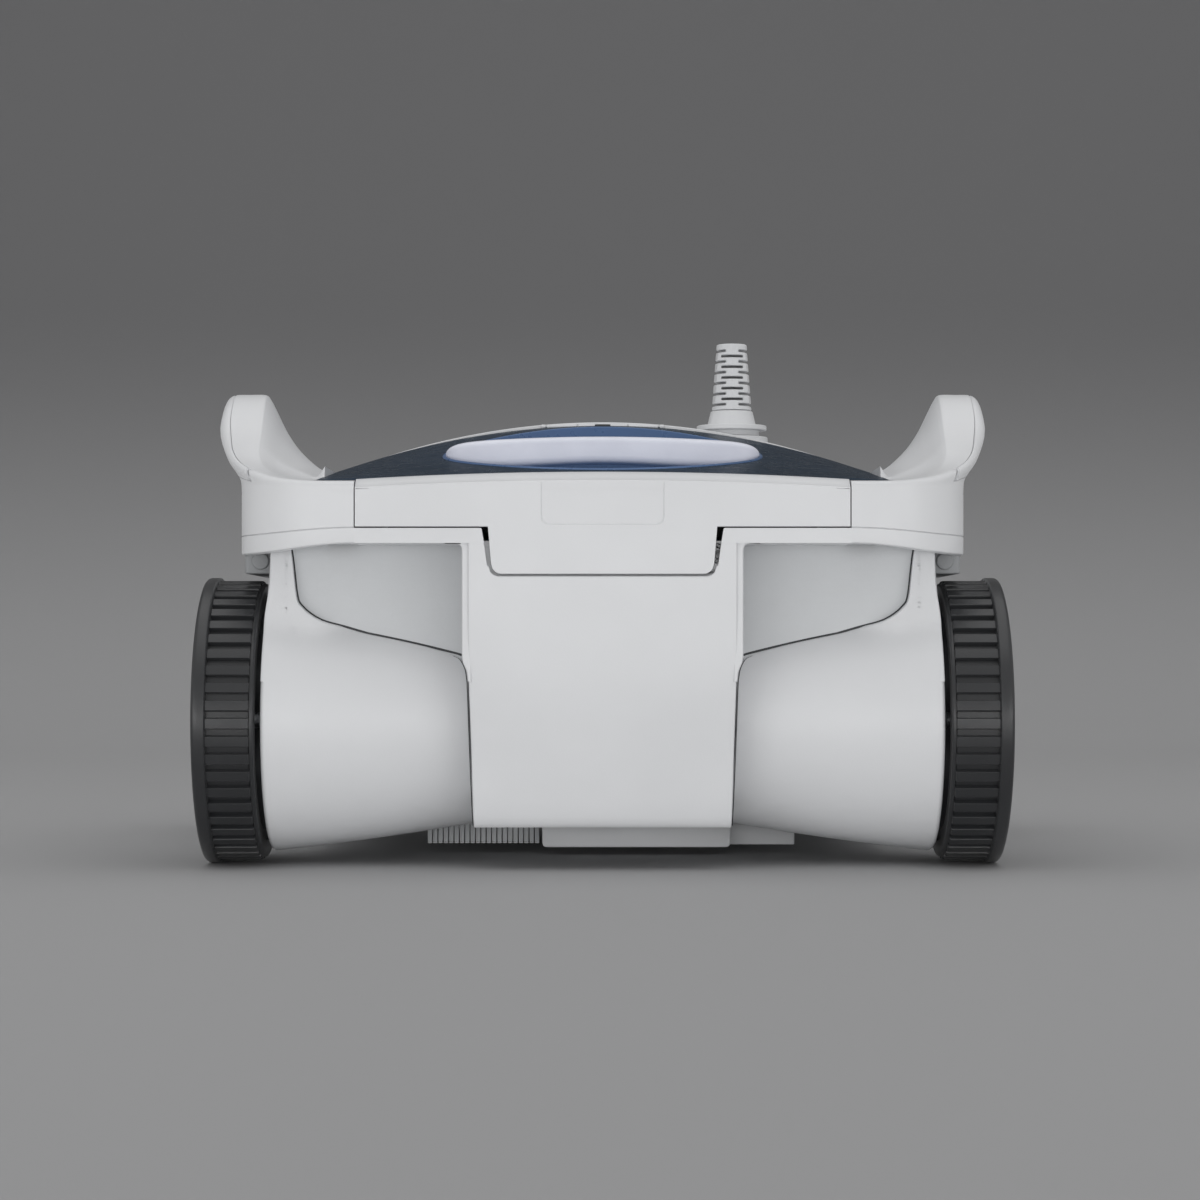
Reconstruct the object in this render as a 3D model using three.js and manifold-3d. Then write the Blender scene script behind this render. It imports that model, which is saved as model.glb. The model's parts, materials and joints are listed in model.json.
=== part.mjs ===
// A four-wheeled robotic pool cleaner, as an assembly of separate parts.
// Units are millimetres. +X is the right side as seen from the front, +Y is the
// back and +Z is up. The origin is on the floor, midway between the four wheels.

import * as THREE from 'three';
import { mergeVertices } from 'three/addons/utils/BufferGeometryUtils.js';
import Module from 'manifold-3d';

const wasm = await Module();
wasm.setup();

// ---------------------------------------------------------------------------
// Driving dimensions
// ---------------------------------------------------------------------------

const clearance = 0.3;            // gap between fitted parts
const shellWall = 3;              // wall of the moulded shells
const screwRadius = 2;            // screws that pass the shells

// wheels
const wheelRadius = 71;           // over the outer flange
const treadRadius = 69.5;         // over the ribs
const treadGroove = 2.6;          // depth of the grooves between the ribs
const treadRibs = 50;
const ribShare = 0.6;             // part of a rib's pitch that is rib
const flangeWidth = 7.5;
const wheelSegments = 20;         // sides of the turned wheel parts
const flangeSegments = 40;
const tyreThickness = 9.5;        // from the ribs to the hub
const tyreWidth = 32.5;
const tyreGap = 4;                // from the fender to the tyre
const axleRadius = 4;
const hubBossRadius = 12;
const hubWeb = 4;                 // thickness of the wheel disc
const hubHoleRadius = 10;
const hubHoleCount = 5;

// gear train: two idlers and two wheel gears around one pinion on each side
const gearModule = 5;
const pinionTeeth = 7;
const idlerTeeth = 17;
const wheelGearTeeth = 11;
const gearWidth = 8;
const gearGap = 7;                // from the tub's side to the gears
const idlerPinRadius = 6;

// main body
const tubHalfWidth = 131;
const tubSetback = 36;            // from the frame's end to the tub's end wall
const tubTop = 156.7;
const tubFloor = 20;              // underside of the body
const tubFloorInset = 41;         // of the floor's end from the end wall
const tubKneeHeight = 104;        // where the front wall turns inward
const tubHeelHeight = 60;
const tubHeelInset = 5;
const tubShinHeight = 36;
const tubShinInset = 16;
const sideCoverDepth = 23;
const restPadHalfWidth = 50;      // flat pad under the floor, on which a caddy carries it
const restPadY = [20, 100];
const restPadDrop = 1.5;

// drum-shaped wheel fenders
const fenderReach = 9;            // beyond the side cover
const fenderWideRadius = 65;
const fenderNarrowRadius = 51;
const fenderEdge = 5;             // rounding at the wheel end
const fenderTabWidth = 11;        // upright tab between the drum and the frame
const fenderTabFrontY = 176;
const fenderTabFoot = 108;

// front and rear centre panels
const panelHalfWidth = 63;
const panelFoldHeight = 88;
const panelFootSetback = 14;      // of its foot from its front
const panelBottom = 20.6;

// upper frame
const frameMargin = 42;           // from the dome's side to the frame's
const frameOverhang = 75;         // from an axle to the frame's end
const frameCorner = 46;
const frameBottom = 157;
const frameTop = 187;
const bandBottom = 164.5;         // joint below the lid's front band
const bandDepth = 9;              // front to back
const railInnerInset = 16;        // rails under the frame, above the wheels
const railOuterInset = 4;
const railHalfLength = 165;
const railBottom = 143.5;

// domed top
const domeMargin = 7;             // from the tub's side to the dome's
const domeEdgeHeight = 190;
const windowCrown = 225.6;
const deckCrown = 229;
const crownY = -11.5;             // joint between the window and the rear deck
const archDrop = 26;              // fall of the crown from the middle to the side
const domeBulge = 0.06;           // rounding of its slopes
const windowWall = 3;

// lid
const lidInset = 18.3;            // from the dome's side to the lid's
const tongueTopHalf = 55.3;
const tongueFootHalf = 53;
const tongueBottom = 142.3;
const tongueCorner = 5;
const tongueThickness = 5;
const labelPadHalf = 29;          // shallow bare pad on the band
const labelPadZ = [165.8, 184];
const labelPadDepth = 0.6;
const railWidth = 7;
const railHeight = 8;
const railGap = 0.6;              // between the rails and the window
const hingeRise = 0.6;            // hinge axis above the window's crown
const hingePinRadius = 1.6;
const knuckleRadius = 3.3;
const knuckleLength = 16;
const knuckleOffset = 22;         // from the middle to a knuckle's centre

// carry handle and its recess
const handleHalfLength = 79;
const handleY = -103.3;
const handleWidth = 24;
const handleTop = 211.6;
const handleThickness = 12.4;
const handleSag = 3.3;            // fall of its top from the middle to the ends
const handleLug = 4;
const recessFloor = 181;
const recessMargin = 1.5;         // from the handle's end to the recess wall

// side fins
const finTop = 235;
const finFrontRun = 78;           // from the fin's front to its full height
const finRearRun = 290;
const finFrontGap = 9;            // from the frame's front to the fin's
const finBackGap = 19;
const finRootGap = 1.5;           // from the dome's side to the fin's root
const finLean = 13.6;             // from the frame's side out to the fin's
const finSkin = 6;

// underside
const skirtLeft = -30;
const skirtRight = 66;
const skirtFrontY = -80;
const skirtBackY = -44;
const skirtBottom = 4;
const skirtWall = 4;
const combLeft = -92;
const combBottom = 5;
const combPitch = 4;
const combSlot = 1.6;
const combDepth = 8;
const flapThickness = 1.6;
const flapPinRadius = 1.5;

// filter basket
const basketSideGap = 25;         // from the tub's side
const basketFrontGap = 21;        // from the tub's front
const basketBackY = -36;
const basketBottom = 40;
const basketTop = 170;
const basketWall = 2.6;
const basketFrameBar = 9;
const basketLegWidth = 10;
const basketLegInset = 24;        // from the basket's front to its front legs
const meshThickness = 0.9;

// motor unit and pump
const boxSideGap = 19;            // from the tub's side
const boxFrontY = -27;
const boxEndGap = 47;             // from the tub's rear
const boxBottom = 27;
const boxTop = 96;
const boxCoverHeight = 4;
const sealHeight = 1.6;
const driveMotorRadius = 16;
const driveMotorLength = 62;
const pumpInset = 47;             // from the back of the motor box
const pumpMotorRadius = 23;
const pumpShaftRadius = 3;
const impellerRadius = 32;
const impellerBlades = 5;
const impellerHeight = 18;
const impellerLift = 5;           // above the motor unit's cover
const impellerHubRadius = 9;
const impellerHubTip = 6.5;       // its radius at the upper end
const bladeRoot = 4;              // inside the hub
const bladeMargin = 2;            // from the hub's ends to the blades
const bladeArc = 0.12;            // thickness of a blade as an angle
const bladeRootPitch = 0.36;      // turn of a blade from its foot to its top
const bladeTipPitch = 0.3;
const ductBore = 38;
const ductWall = 3;
const intakeHalfWidth = 16;       // slots at the foot of the duct
const intakeHeight = 10;
const boardSize = 60;
const boardInset = [20, 17];      // from the side and the back of the motor box
const boardThickness = 1.6;
const boxFoot = 14;               // width of the feet below the motor box
const pumpMotorHeadroom = 8;      // from the pump motor to the top of the box
const motorFootInset = 12;
const motorFootHalfWidth = 10;

// cable swivel and strain relief
const swivelX = 71.6;
const swivelY = 35;
const swivelSeat = 219.4;
const swivelBaseRadius = 20;
const swivelBaseHeight = 3.9;
const swivelNeckRadius = 15.2;
const swivelNeckHeight = 3.3;
const swivelFlangeRadius = 19.4;
const swivelFlangeHeight = 2.8;
const collarRadius = 13.6;
const collarHeight = 8.3;
const reliefBaseRadius = 11;
const reliefTipRadius = 8.3;
const reliefHeight = 36.7;
const reliefSlots = 5;
const reliefSlotHeight = 1.3;

// sizes that follow from these
const pinionRadius = (gearModule * pinionTeeth) / 2;
const idlerRadius = (gearModule * idlerTeeth) / 2;
const wheelGearRadius = (gearModule * wheelGearTeeth) / 2;
const idlerOffset = pinionRadius + idlerRadius;
const wheelBaseHalf = idlerOffset + idlerRadius + wheelGearRadius;
const frameHalfLength = wheelBaseHalf + frameOverhang;
const tubHalfLength = frameHalfLength - tubSetback;
const tubHeelHalfLength = tubHalfLength - tubHeelInset;
const tubShinHalfLength = tubHalfLength - tubShinInset;
const tubFloorHalfLength = tubHalfLength - tubFloorInset;
const domeHalfWidth = tubHalfWidth + domeMargin;
const frameHalfWidth = domeHalfWidth + frameMargin;
const lidHalfWidth = domeHalfWidth - lidInset;
const panelFrontY = frameHalfLength;
const panelFootY = panelFrontY - panelFootSetback;
const sideCoverOuterX = tubHalfWidth + sideCoverDepth;
const fenderOuterX = sideCoverOuterX + fenderReach;
const tyreInnerX = fenderOuterX + tyreGap;
const flangeOuterX = tyreInnerX + tyreWidth;
const gearInnerX = tubHalfWidth + gearGap;
const basketHalfWidth = tubHalfWidth - basketSideGap;
const basketFrontY = -(tubHalfLength - basketFrontGap);
const boxHalfWidth = tubHalfWidth - boxSideGap;
const boxBackY = tubHalfLength - boxEndGap;
const boardX = [-boxHalfWidth + boardInset[0], -boxHalfWidth + boardInset[0] + boardSize];
const boardY = [boxBackY - boardInset[1] - boardSize, boxBackY - boardInset[1]];
const pumpY = boxBackY - pumpInset;
const finRise = finTop - frameTop;
const finFrontY = -(frameHalfLength - finFrontGap);
const finBackY = frameHalfLength - finBackGap;
const finFullFrontY = finFrontY + finFrontRun;
const finFullBackY = finBackY - finRearRun;

// ---------------------------------------------------------------------------
// Finishes
// ---------------------------------------------------------------------------

function finish(color, roughness, metalness = 0, opacity = 1) {
  return () => new THREE.MeshStandardMaterial({
    color, roughness, metalness, opacity, transparent: opacity < 1,
  });
}

const whitePlastic = finish(0xe4e5e7, 0.38);
const greyPlastic = finish(0x6d6e70, 0.5);
const darkPlastic = finish(0x2b2d30, 0.55);
const tyreRubber = finish(0x7a7b7d, 0.6);
const handlePlastic = finish(0xc9cbd6, 0.4);
const blueWindow = finish(0x2d4266, 0.12, 0, 0.55);
const gearNylon = finish(0xdad7cc, 0.45);
const steel = finish(0xb9bcc0, 0.25, 1);
const motorCan = finish(0x9a9da1, 0.35, 1);
const sealRubber = finish(0x1e1f20, 0.8);
const boardGreen = finish(0x1f5b3a, 0.5);
const filterMesh = finish(0x3b6fa8, 0.7);

// ---------------------------------------------------------------------------
// Solids
// ---------------------------------------------------------------------------

// A closed three.js geometry as a solid that can be joined and cut.
function solid(geometry) {
  const bare = geometry.clone();
  bare.deleteAttribute('normal');
  bare.deleteAttribute('uv');
  const merged = mergeVertices(bare, 1e-4);
  return new wasm.Manifold(new wasm.Mesh({
    numProp: 3,
    vertProperties: new Float32Array(merged.attributes.position.array),
    triVerts: new Uint32Array(merged.index.array),
  }));
}

function geometryOf(body) {
  const mesh = body.getMesh();
  const geometry = new THREE.BufferGeometry();
  geometry.setAttribute('position', new THREE.BufferAttribute(mesh.vertProperties, 3));
  geometry.setIndex(new THREE.BufferAttribute(mesh.triVerts, 1));
  geometry.computeVertexNormals();
  return geometry;
}

function union(bodies) {
  return bodies.reduce((sum, body) => sum.add(body));
}

function without(body, cutters) {
  return cutters.reduce((rest, cutter) => rest.subtract(cutter), body);
}

// A box between two limits along each axis.
function block([x0, x1], [y0, y1], [z0, z1]) {
  const geometry = new THREE.BoxGeometry(Math.abs(x1 - x0), Math.abs(y1 - y0), Math.abs(z1 - z0));
  geometry.translate((x0 + x1) / 2, (y0 + y1) / 2, (z0 + z1) / 2);
  return solid(geometry);
}

// A grid-divided box whose unit coordinates (u, v, w) are moved to (x, y, z).
function shaped(cells, place) {
  const geometry = new THREE.BoxGeometry(1, 1, 1, cells[0], cells[1], cells[2]);
  geometry.translate(0.5, 0.5, 0.5);
  const position = geometry.attributes.position;
  for (let i = 0; i < position.count; i += 1) {
    const [x, y, z] = place(position.getX(i), position.getY(i), position.getZ(i));
    position.setXYZ(i, x, y, z);
  }
  return solid(geometry);
}

function outline(points) {
  return new THREE.Shape(points.map(([u, v]) => new THREE.Vector2(u, v)));
}

function extruded(shape, depth, curveSegments = 8) {
  return new THREE.ExtrudeGeometry(shape, { depth, bevelEnabled: false, steps: 1, curveSegments });
}

// A prism along X: the shape's own axes are Y and Z.
function prismX(shape, [x0, x1], curveSegments) {
  const low = Math.min(x0, x1);
  const geometry = extruded(shape, Math.abs(x1 - x0), curveSegments);
  geometry.applyMatrix4(new THREE.Matrix4().set(
    0, 0, 1, low,
    1, 0, 0, 0,
    0, 1, 0, 0,
    0, 0, 0, 1,
  ));
  return solid(geometry);
}

// A prism along Y: the shape's own axes are X and Z.
function prismY(shape, [y0, y1], curveSegments) {
  const high = Math.max(y0, y1);
  const geometry = extruded(shape, Math.abs(y1 - y0), curveSegments);
  geometry.applyMatrix4(new THREE.Matrix4().set(
    1, 0, 0, 0,
    0, 0, -1, high,
    0, 1, 0, 0,
    0, 0, 0, 1,
  ));
  return solid(geometry);
}

// A prism along Z: the shape's own axes are X and Y.
function prismZ(shape, [z0, z1], curveSegments) {
  const geometry = extruded(shape, Math.abs(z1 - z0), curveSegments);
  geometry.translate(0, 0, Math.min(z0, z1));
  return solid(geometry);
}

function rodX(radius, [x0, x1], y, z, segments = 20) {
  const geometry = new THREE.CylinderGeometry(radius, radius, Math.abs(x1 - x0), segments);
  geometry.rotateZ(Math.PI / 2);
  geometry.translate((x0 + x1) / 2, y, z);
  return solid(geometry);
}

function rodZ(radius, x, y, [z0, z1], segments = 24, topRadius = radius) {
  const geometry = new THREE.CylinderGeometry(topRadius, radius, z1 - z0, segments);
  geometry.rotateX(Math.PI / 2);
  geometry.translate(x, y, (z0 + z1) / 2);
  return solid(geometry);
}

// A ring turned about X from a closed profile of [radius, x] points.
function turnedX(profile, y, z, segments) {
  const points = profile.map(([radius, x]) => new THREE.Vector2(radius, x));
  const geometry = new THREE.LatheGeometry([...points, points[0]], segments);
  geometry.rotateZ(-Math.PI / 2);
  geometry.translate(0, y, z);
  return solidFacingOut(geometry);
}

// Turns a closed geometry's faces outward, whichever way its profile ran.
function solidFacingOut(geometry) {
  const body = solid(geometry);
  if (body.volume() > 0) {
    return body;
  }
  return solid(flipped(geometry));
}

function flipped(geometry) {
  const copy = geometry.clone();
  const index = copy.index.array;
  for (let i = 0; i < index.length; i += 3) {
    [index[i], index[i + 1]] = [index[i + 1], index[i]];
  }
  return copy;
}

// The mirror image of a solid in the plane across X or Y.
function mirrored(body, axis) {
  const copy = geometryOf(body);
  copy.scale(axis === 'x' ? -1 : 1, axis === 'y' ? -1 : 1, 1);
  return solid(flipped(copy));
}

function lerp(from, to, share) {
  return from + (to - from) * share;
}

// The two limits moved inward by a margin.
function inset([low, high], margin) {
  return [low + margin, high - margin];
}

// ---------------------------------------------------------------------------
// Naming and placing
// ---------------------------------------------------------------------------

const cleaner = new THREE.Group();

function add(name, body, material, parent = cleaner) {
  const mesh = new THREE.Mesh(geometryOf(body), material());
  mesh.name = name;
  parent.add(mesh);
  return mesh;
}

const sides = [['left', -1], ['right', 1]];
const ends = [['front', -1], ['rear', 1]];

// ---------------------------------------------------------------------------
// Wheels
// ---------------------------------------------------------------------------

const axleHeight = wheelRadius;
const flangeInnerX = flangeOuterX - flangeWidth;
const tyreBore = treadRadius - tyreThickness;
const hubRadius = tyreBore - clearance;
const hubOuterX = flangeOuterX - 4;
const gearOuterX = gearInnerX + gearWidth;

// Lands and grooves around the tread, in the plane across the axle.
function ribbedOutline() {
  const pitch = (2 * Math.PI) / treadRibs;
  const landHalf = (pitch * ribShare) / 2;
  const taper = landHalf * 0.12;
  const grooveRadius = treadRadius - treadGroove;
  const points = [];
  for (let rib = 0; rib < treadRibs; rib += 1) {
    const middle = rib * pitch;
    const corners = [
      [grooveRadius, middle - landHalf],
      [treadRadius, middle - landHalf + taper],
      [treadRadius, middle + landHalf - taper],
      [grooveRadius, middle + landHalf],
    ];
    corners.forEach(([radius, angle]) => {
      points.push([radius * Math.cos(angle), radius * Math.sin(angle)]);
    });
  }
  return outline(points);
}

// Tyre about the X axis through the origin, with its flange towards +X.
function tyreBody() {
  const tread = prismX(ribbedOutline(), [tyreInnerX, flangeInnerX + 0.1]);
  const flange = turnedX([
    [tyreBore - 2, flangeInnerX], [wheelRadius, flangeInnerX], [wheelRadius, flangeOuterX - 2],
    [wheelRadius - 2, flangeOuterX], [tyreBore - 2, flangeOuterX],
  ], 0, 0, flangeSegments);
  const bore = rodX(tyreBore, [tyreInnerX - 1, flangeOuterX + 1], 0, 0, wheelSegments);
  return tread.add(flange).subtract(bore);
}

// Wheel disc with its rim and boss, about the X axis through the origin.
function hubBody() {
  const rimInner = hubRadius - shellWall;
  const bossInnerX = tyreInnerX + 2;
  const discX = flangeInnerX - hubWeb;
  const ring = turnedX([
    [axleRadius + clearance, bossInnerX], [hubBossRadius, bossInnerX], [hubBossRadius, discX],
    [rimInner, discX], [rimInner, tyreInnerX + 1], [hubRadius, tyreInnerX + 1],
    [hubRadius, hubOuterX], [rimInner, hubOuterX], [rimInner, flangeInnerX],
    [axleRadius + clearance, flangeInnerX],
  ], 0, 0, wheelSegments);
  const holes = [];
  const holeCircle = (hubBossRadius + rimInner) / 2;
  for (let i = 0; i < hubHoleCount; i += 1) {
    const angle = (i * 2 * Math.PI) / hubHoleCount;
    const y = holeCircle * Math.cos(angle);
    const z = holeCircle * Math.sin(angle);
    holes.push(rodX(hubHoleRadius, [discX - 1, flangeInnerX + 1], y, z, 8));
  }
  return without(ring, holes);
}

// Stub axle with a head outside the wheel disc.
function axleBody() {
  const shaft = rodX(axleRadius, [tubHalfWidth - shellWall + 0.2, flangeInnerX + 1], 0, 0, 12);
  const head = rodX(axleRadius + 3, [flangeInnerX + clearance, flangeInnerX + 3], 0, 0, 12);
  return shaft.add(head);
}

// ---------------------------------------------------------------------------
// Gear train
// ---------------------------------------------------------------------------

// Straight-flanked teeth, with one tooth pointing to +Y.
function gearOutline(teeth) {
  const pitchRadius = (gearModule * teeth) / 2;
  const tip = pitchRadius + gearModule * 0.8;
  const root = pitchRadius - gearModule;
  const pitch = (2 * Math.PI) / teeth;
  const points = [];
  for (let tooth = 0; tooth < teeth; tooth += 1) {
    const middle = tooth * pitch;
    const corners = [
      [root, middle - pitch * 0.28], [tip, middle - pitch * 0.1],
      [tip, middle + pitch * 0.1], [root, middle + pitch * 0.28],
    ];
    corners.forEach(([radius, angle]) => {
      points.push([radius * Math.cos(angle), radius * Math.sin(angle)]);
    });
  }
  return outline(points);
}

// A gear about the X axis, bored for its shaft or pin.
function gearBody(teeth, side, boreRadius, y) {
  const span = [side * gearInnerX, side * gearOuterX];
  const disc = prismX(gearOutline(teeth), span);
  const bore = rodX(boreRadius + clearance, [side * (gearInnerX - 1), side * (gearOuterX + 1)], 0, 0, 12);
  return translated(disc.subtract(bore), 0, y, axleHeight);
}

function translated(body, x, y, z) {
  const copy = geometryOf(body);
  copy.translate(x, y, z);
  return solid(copy);
}

// Pinion with its shaft, which runs into the drive motor inside the tub.
function pinionBody(side) {
  const disc = prismX(gearOutline(pinionTeeth), [side * gearInnerX, side * gearOuterX]);
  const shaft = rodX(axleRadius, [side * (boxHalfWidth + 1), side * (gearInnerX + 1)], 0, 0, 12);
  return translated(disc.add(shaft), 0, 0, axleHeight);
}

sides.forEach(([sideName, side]) => {
  ends.forEach(([endName, end]) => {
    const wheelY = end * wheelBaseHalf;
    const facing = (body) => (side > 0 ? body : mirrored(body, 'x'));
    const label = `${endName}_${sideName}`;
    const wheel = new THREE.Group();
    wheel.position.set(0, wheelY, axleHeight);
    cleaner.add(wheel);
    add(`tyre_${label}`, facing(tyreBody()), tyreRubber, wheel);
    add(`wheel_hub_${label}`, facing(hubBody()), greyPlastic, wheel);
    add(`wheel_axle_${label}`, facing(axleBody()), steel, wheel);
    const wheelGear = gearBody(wheelGearTeeth, side, axleRadius, wheelY);
    add(`wheel_gear_${label}`, wheelGear, gearNylon);
    const idler = gearBody(idlerTeeth, side, idlerPinRadius, end * idlerOffset);
    add(`idler_gear_${label}`, idler, gearNylon);
  });
  add(`drive_pinion_${sideName}`, pinionBody(side), gearNylon);
});

// ---------------------------------------------------------------------------
// Main body
// ---------------------------------------------------------------------------

// Side view of the body, grown outward (or shrunk, if negative) by a margin.
function bodyOutline(margin, top) {
  const half = [
    [tubHalfLength + margin, top],
    [tubHalfLength + margin, tubKneeHeight - margin / 3],
    [tubHeelHalfLength + margin, tubHeelHeight - margin / 4],
    [tubShinHalfLength + margin, tubShinHeight - margin / 2],
    [tubFloorHalfLength + margin / 4, tubFloor - margin],
  ];
  const front = half.map(([y, z]) => [-y, z]);
  const rear = [...half].reverse();
  return outline([...front, ...rear]);
}

const skirtMiddleY = (skirtFrontY + skirtBackY) / 2;
const inletX = [skirtLeft + skirtWall + 2, skirtRight - skirtWall - 2];
const inletY = [skirtFrontY + skirtWall + 2, skirtBackY - skirtWall - 2];

function tubBody() {
  const outer = prismX(bodyOutline(0, tubTop), [-tubHalfWidth, tubHalfWidth]);
  const innerHalf = tubHalfWidth - shellWall;
  const inner = prismX(bodyOutline(-shellWall, tubTop + 1), [-innerHalf, innerHalf]);
  const inlet = block(inletX, inletY, [tubFloor - 1, tubFloor + shellWall + 1]);
  const restPad = block([-restPadHalfWidth, restPadHalfWidth], restPadY,
    [tubFloor - restPadDrop, tubFloor + 1]);
  const additions = [restPad];
  const cutters = [inlet];
  sides.forEach(([, side]) => {
    const wall = [side * (innerHalf - 1), side * (tubHalfWidth + 1)];
    cutters.push(rodX(axleRadius + clearance, wall, 0, axleHeight, 12));
    ends.forEach(([, end]) => {
      const pin = [side * (tubHalfWidth - 1), side * (gearOuterX + 1)];
      additions.push(rodX(idlerPinRadius, pin, end * idlerOffset, axleHeight, 12));
      cutters.push(rodX(axleRadius + clearance, wall, end * wheelBaseHalf, axleHeight, 12));
    });
  });
  return without(union([outer.subtract(inner), ...additions]), cutters);
}

// Tray over the gears on the right side, open towards the tub.
function sideCoverBody() {
  const innerX = tubHalfWidth + clearance;
  const outer = prismX(bodyOutline(0, tubTop), [innerX, sideCoverOuterX]);
  const hollow = prismX(bodyOutline(-shellWall, tubTop - shellWall),
    [innerX - 1, sideCoverOuterX - shellWall]);
  const holes = ends.map(([, end]) => (
    rodX(axleRadius + clearance, [innerX, sideCoverOuterX + 1], end * wheelBaseHalf, axleHeight, 12)
  ));
  return without(outer, [hollow, ...holes]);
}

// Drum over the front right axle, wrapped around the corner of the body.
function fenderBody() {
  const innerX = panelHalfWidth + clearance;
  const radiusAt = (x) => (
    lerp(fenderNarrowRadius, fenderWideRadius, (x - innerX) / (fenderOuterX - fenderEdge - innerX))
  );
  const discX = fenderOuterX - shellWall;
  const wallX = sideCoverOuterX + clearance;
  const drum = turnedX([
    [fenderNarrowRadius, innerX],
    [fenderWideRadius, fenderOuterX - fenderEdge],
    [fenderWideRadius - fenderEdge, fenderOuterX],
    [axleRadius + 4, fenderOuterX],
    [axleRadius + 4, discX],
    [radiusAt(discX) - shellWall - 2, discX],
    [radiusAt(wallX) - shellWall, wallX],
    [fenderNarrowRadius - shellWall, innerX],
  ], -wheelBaseHalf, axleHeight, 32);
  const body = prismX(bodyOutline(clearance, tubTop), [innerX - 1, wallX]);
  return drum.add(fenderTab()).subtract(body);
}

// Upright tab of the right fender: it curves out of the drum and reaches the frame.
function fenderTab() {
  const outer = fenderOuterX - 1.5;
  const inner = outer - fenderTabWidth;
  const top = frameBottom - clearance;
  const rise = top - fenderTabFoot;
  const front = prismY(outline([
    [outer, fenderTabFoot], [outer, top], [inner + 1.5, top], [inner, top - 0.16 * rise],
    [inner - 3.5, top - 0.5 * rise], [inner - 10, top - 0.7 * rise], [inner - 20, fenderTabFoot],
  ]), [-fenderTabFrontY - 1, -tubHalfLength]);
  const side = prismX(outline([
    [-fenderTabFrontY, fenderTabFoot], [-fenderTabFrontY + 0.5, fenderTabFoot + 0.4 * rise],
    [-fenderTabFrontY + 2.5, top], [-tubHalfLength - clearance, top],
    [-tubHalfLength - clearance, fenderTabFoot],
  ]), [0, outer + 1]);
  return front.intersect(side);
}

// Upright panel in the middle of the front, with a notch for the lid's tongue.
function centrePanelBody(notched) {
  const backY = -(tubHalfLength + clearance);
  const side = outline([
    [backY, frameBottom - clearance], [-panelFrontY, frameBottom - clearance],
    [-panelFrontY, panelFoldHeight + 14], [-(panelFrontY - 0.9), panelFoldHeight],
    [-panelFootY - 1, panelBottom + 8], [-panelFootY + 6, panelBottom], [backY, panelBottom],
  ]);
  const hollowBack = backY + 1;
  const hollow = outline([
    [hollowBack, frameBottom - clearance - shellWall],
    [-panelFrontY + shellWall, frameBottom - clearance - shellWall],
    [-panelFrontY + shellWall, panelFoldHeight + 13],
    [-panelFrontY + 0.9 + shellWall, panelFoldHeight],
    [-panelFootY + shellWall, panelBottom + 9], [-panelFootY + 7, panelBottom + shellWall],
    [hollowBack, panelBottom + shellWall],
  ]);
  const innerHalf = panelHalfWidth - shellWall;
  const shell = prismX(side, [-panelHalfWidth, panelHalfWidth])
    .subtract(prismX(hollow, [-innerHalf, innerHalf]));
  if (!notched) {
    return shell;
  }
  const depth = tongueThickness + clearance;
  const backing = block([-tongueTopHalf - 4, tongueTopHalf + 4],
    [-panelFrontY + 1, -panelFrontY + depth + shellWall], [tongueBottom - 4, frameBottom - clearance]);
  const notch = prismY(tongueOutline(clearance + 0.7, frameBottom + 1),
    [-panelFrontY - 1, -panelFrontY + depth]);
  return shell.add(backing).subtract(notch);
}

// Front view of the lid's tongue, grown by a margin and cut off at a height.
function tongueOutline(margin, top) {
  const foot = tongueBottom - margin;
  const half = (z) => (
    lerp(tongueFootHalf, tongueTopHalf, (z - tongueBottom) / (bandBottom - tongueBottom)) + margin
  );
  const shape = new THREE.Shape();
  shape.moveTo(-half(top), top);
  shape.lineTo(-half(foot + tongueCorner), foot + tongueCorner);
  shape.quadraticCurveTo(-half(foot), foot, -half(foot) + tongueCorner, foot);
  shape.lineTo(half(foot) - tongueCorner, foot);
  shape.quadraticCurveTo(half(foot), foot, half(foot + tongueCorner), foot + tongueCorner);
  shape.lineTo(half(top), top);
  shape.closePath();
  return shape;
}

add('chassis_tub', tubBody(), whitePlastic);
const rightCover = sideCoverBody();
add('side_cover_right', rightCover, whitePlastic);
add('side_cover_left', mirrored(rightCover, 'x'), whitePlastic);
const frontRightFender = fenderBody();
add('fender_front_right', frontRightFender, whitePlastic);
add('fender_front_left', mirrored(frontRightFender, 'x'), whitePlastic);
add('fender_rear_right', mirrored(frontRightFender, 'y'), whitePlastic);
add('fender_rear_left', mirrored(mirrored(frontRightFender, 'x'), 'y'), whitePlastic);
add('front_panel', centrePanelBody(true), whitePlastic);
add('rear_panel', mirrored(centrePanelBody(false), 'y'), whitePlastic);

// ---------------------------------------------------------------------------
// Upper frame and side fins
// ---------------------------------------------------------------------------

const frameOpeningHalfX = tubHalfWidth - shellWall;
const frameOpeningHalfY = tubHalfLength - shellWall;

// Plan of the frame, with rounded corners, grown outward by a margin.
function framePlan(margin) {
  const x = frameHalfWidth + margin;
  const y = frameHalfLength + margin;
  const r = frameCorner + margin;
  const shape = new THREE.Shape();
  shape.moveTo(-x + r, -y);
  shape.lineTo(x - r, -y);
  shape.absarc(x - r, -y + r, r, -Math.PI / 2, 0, false);
  shape.lineTo(x, y - r);
  shape.absarc(x - r, y - r, r, 0, Math.PI / 2, false);
  shape.lineTo(-x + r, y);
  shape.absarc(-x + r, y - r, r, Math.PI / 2, Math.PI, false);
  shape.lineTo(-x, -y + r);
  shape.absarc(-x + r, -y + r, r, Math.PI, 1.5 * Math.PI, false);
  return shape;
}

// Points given as shares of a width and of the fins' rise, from an edge and the frame's top.
function finPoints(edge, width, shares) {
  return shares.map(([across, up]) => [edge + across * width, frameTop + up * finRise]);
}

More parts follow.
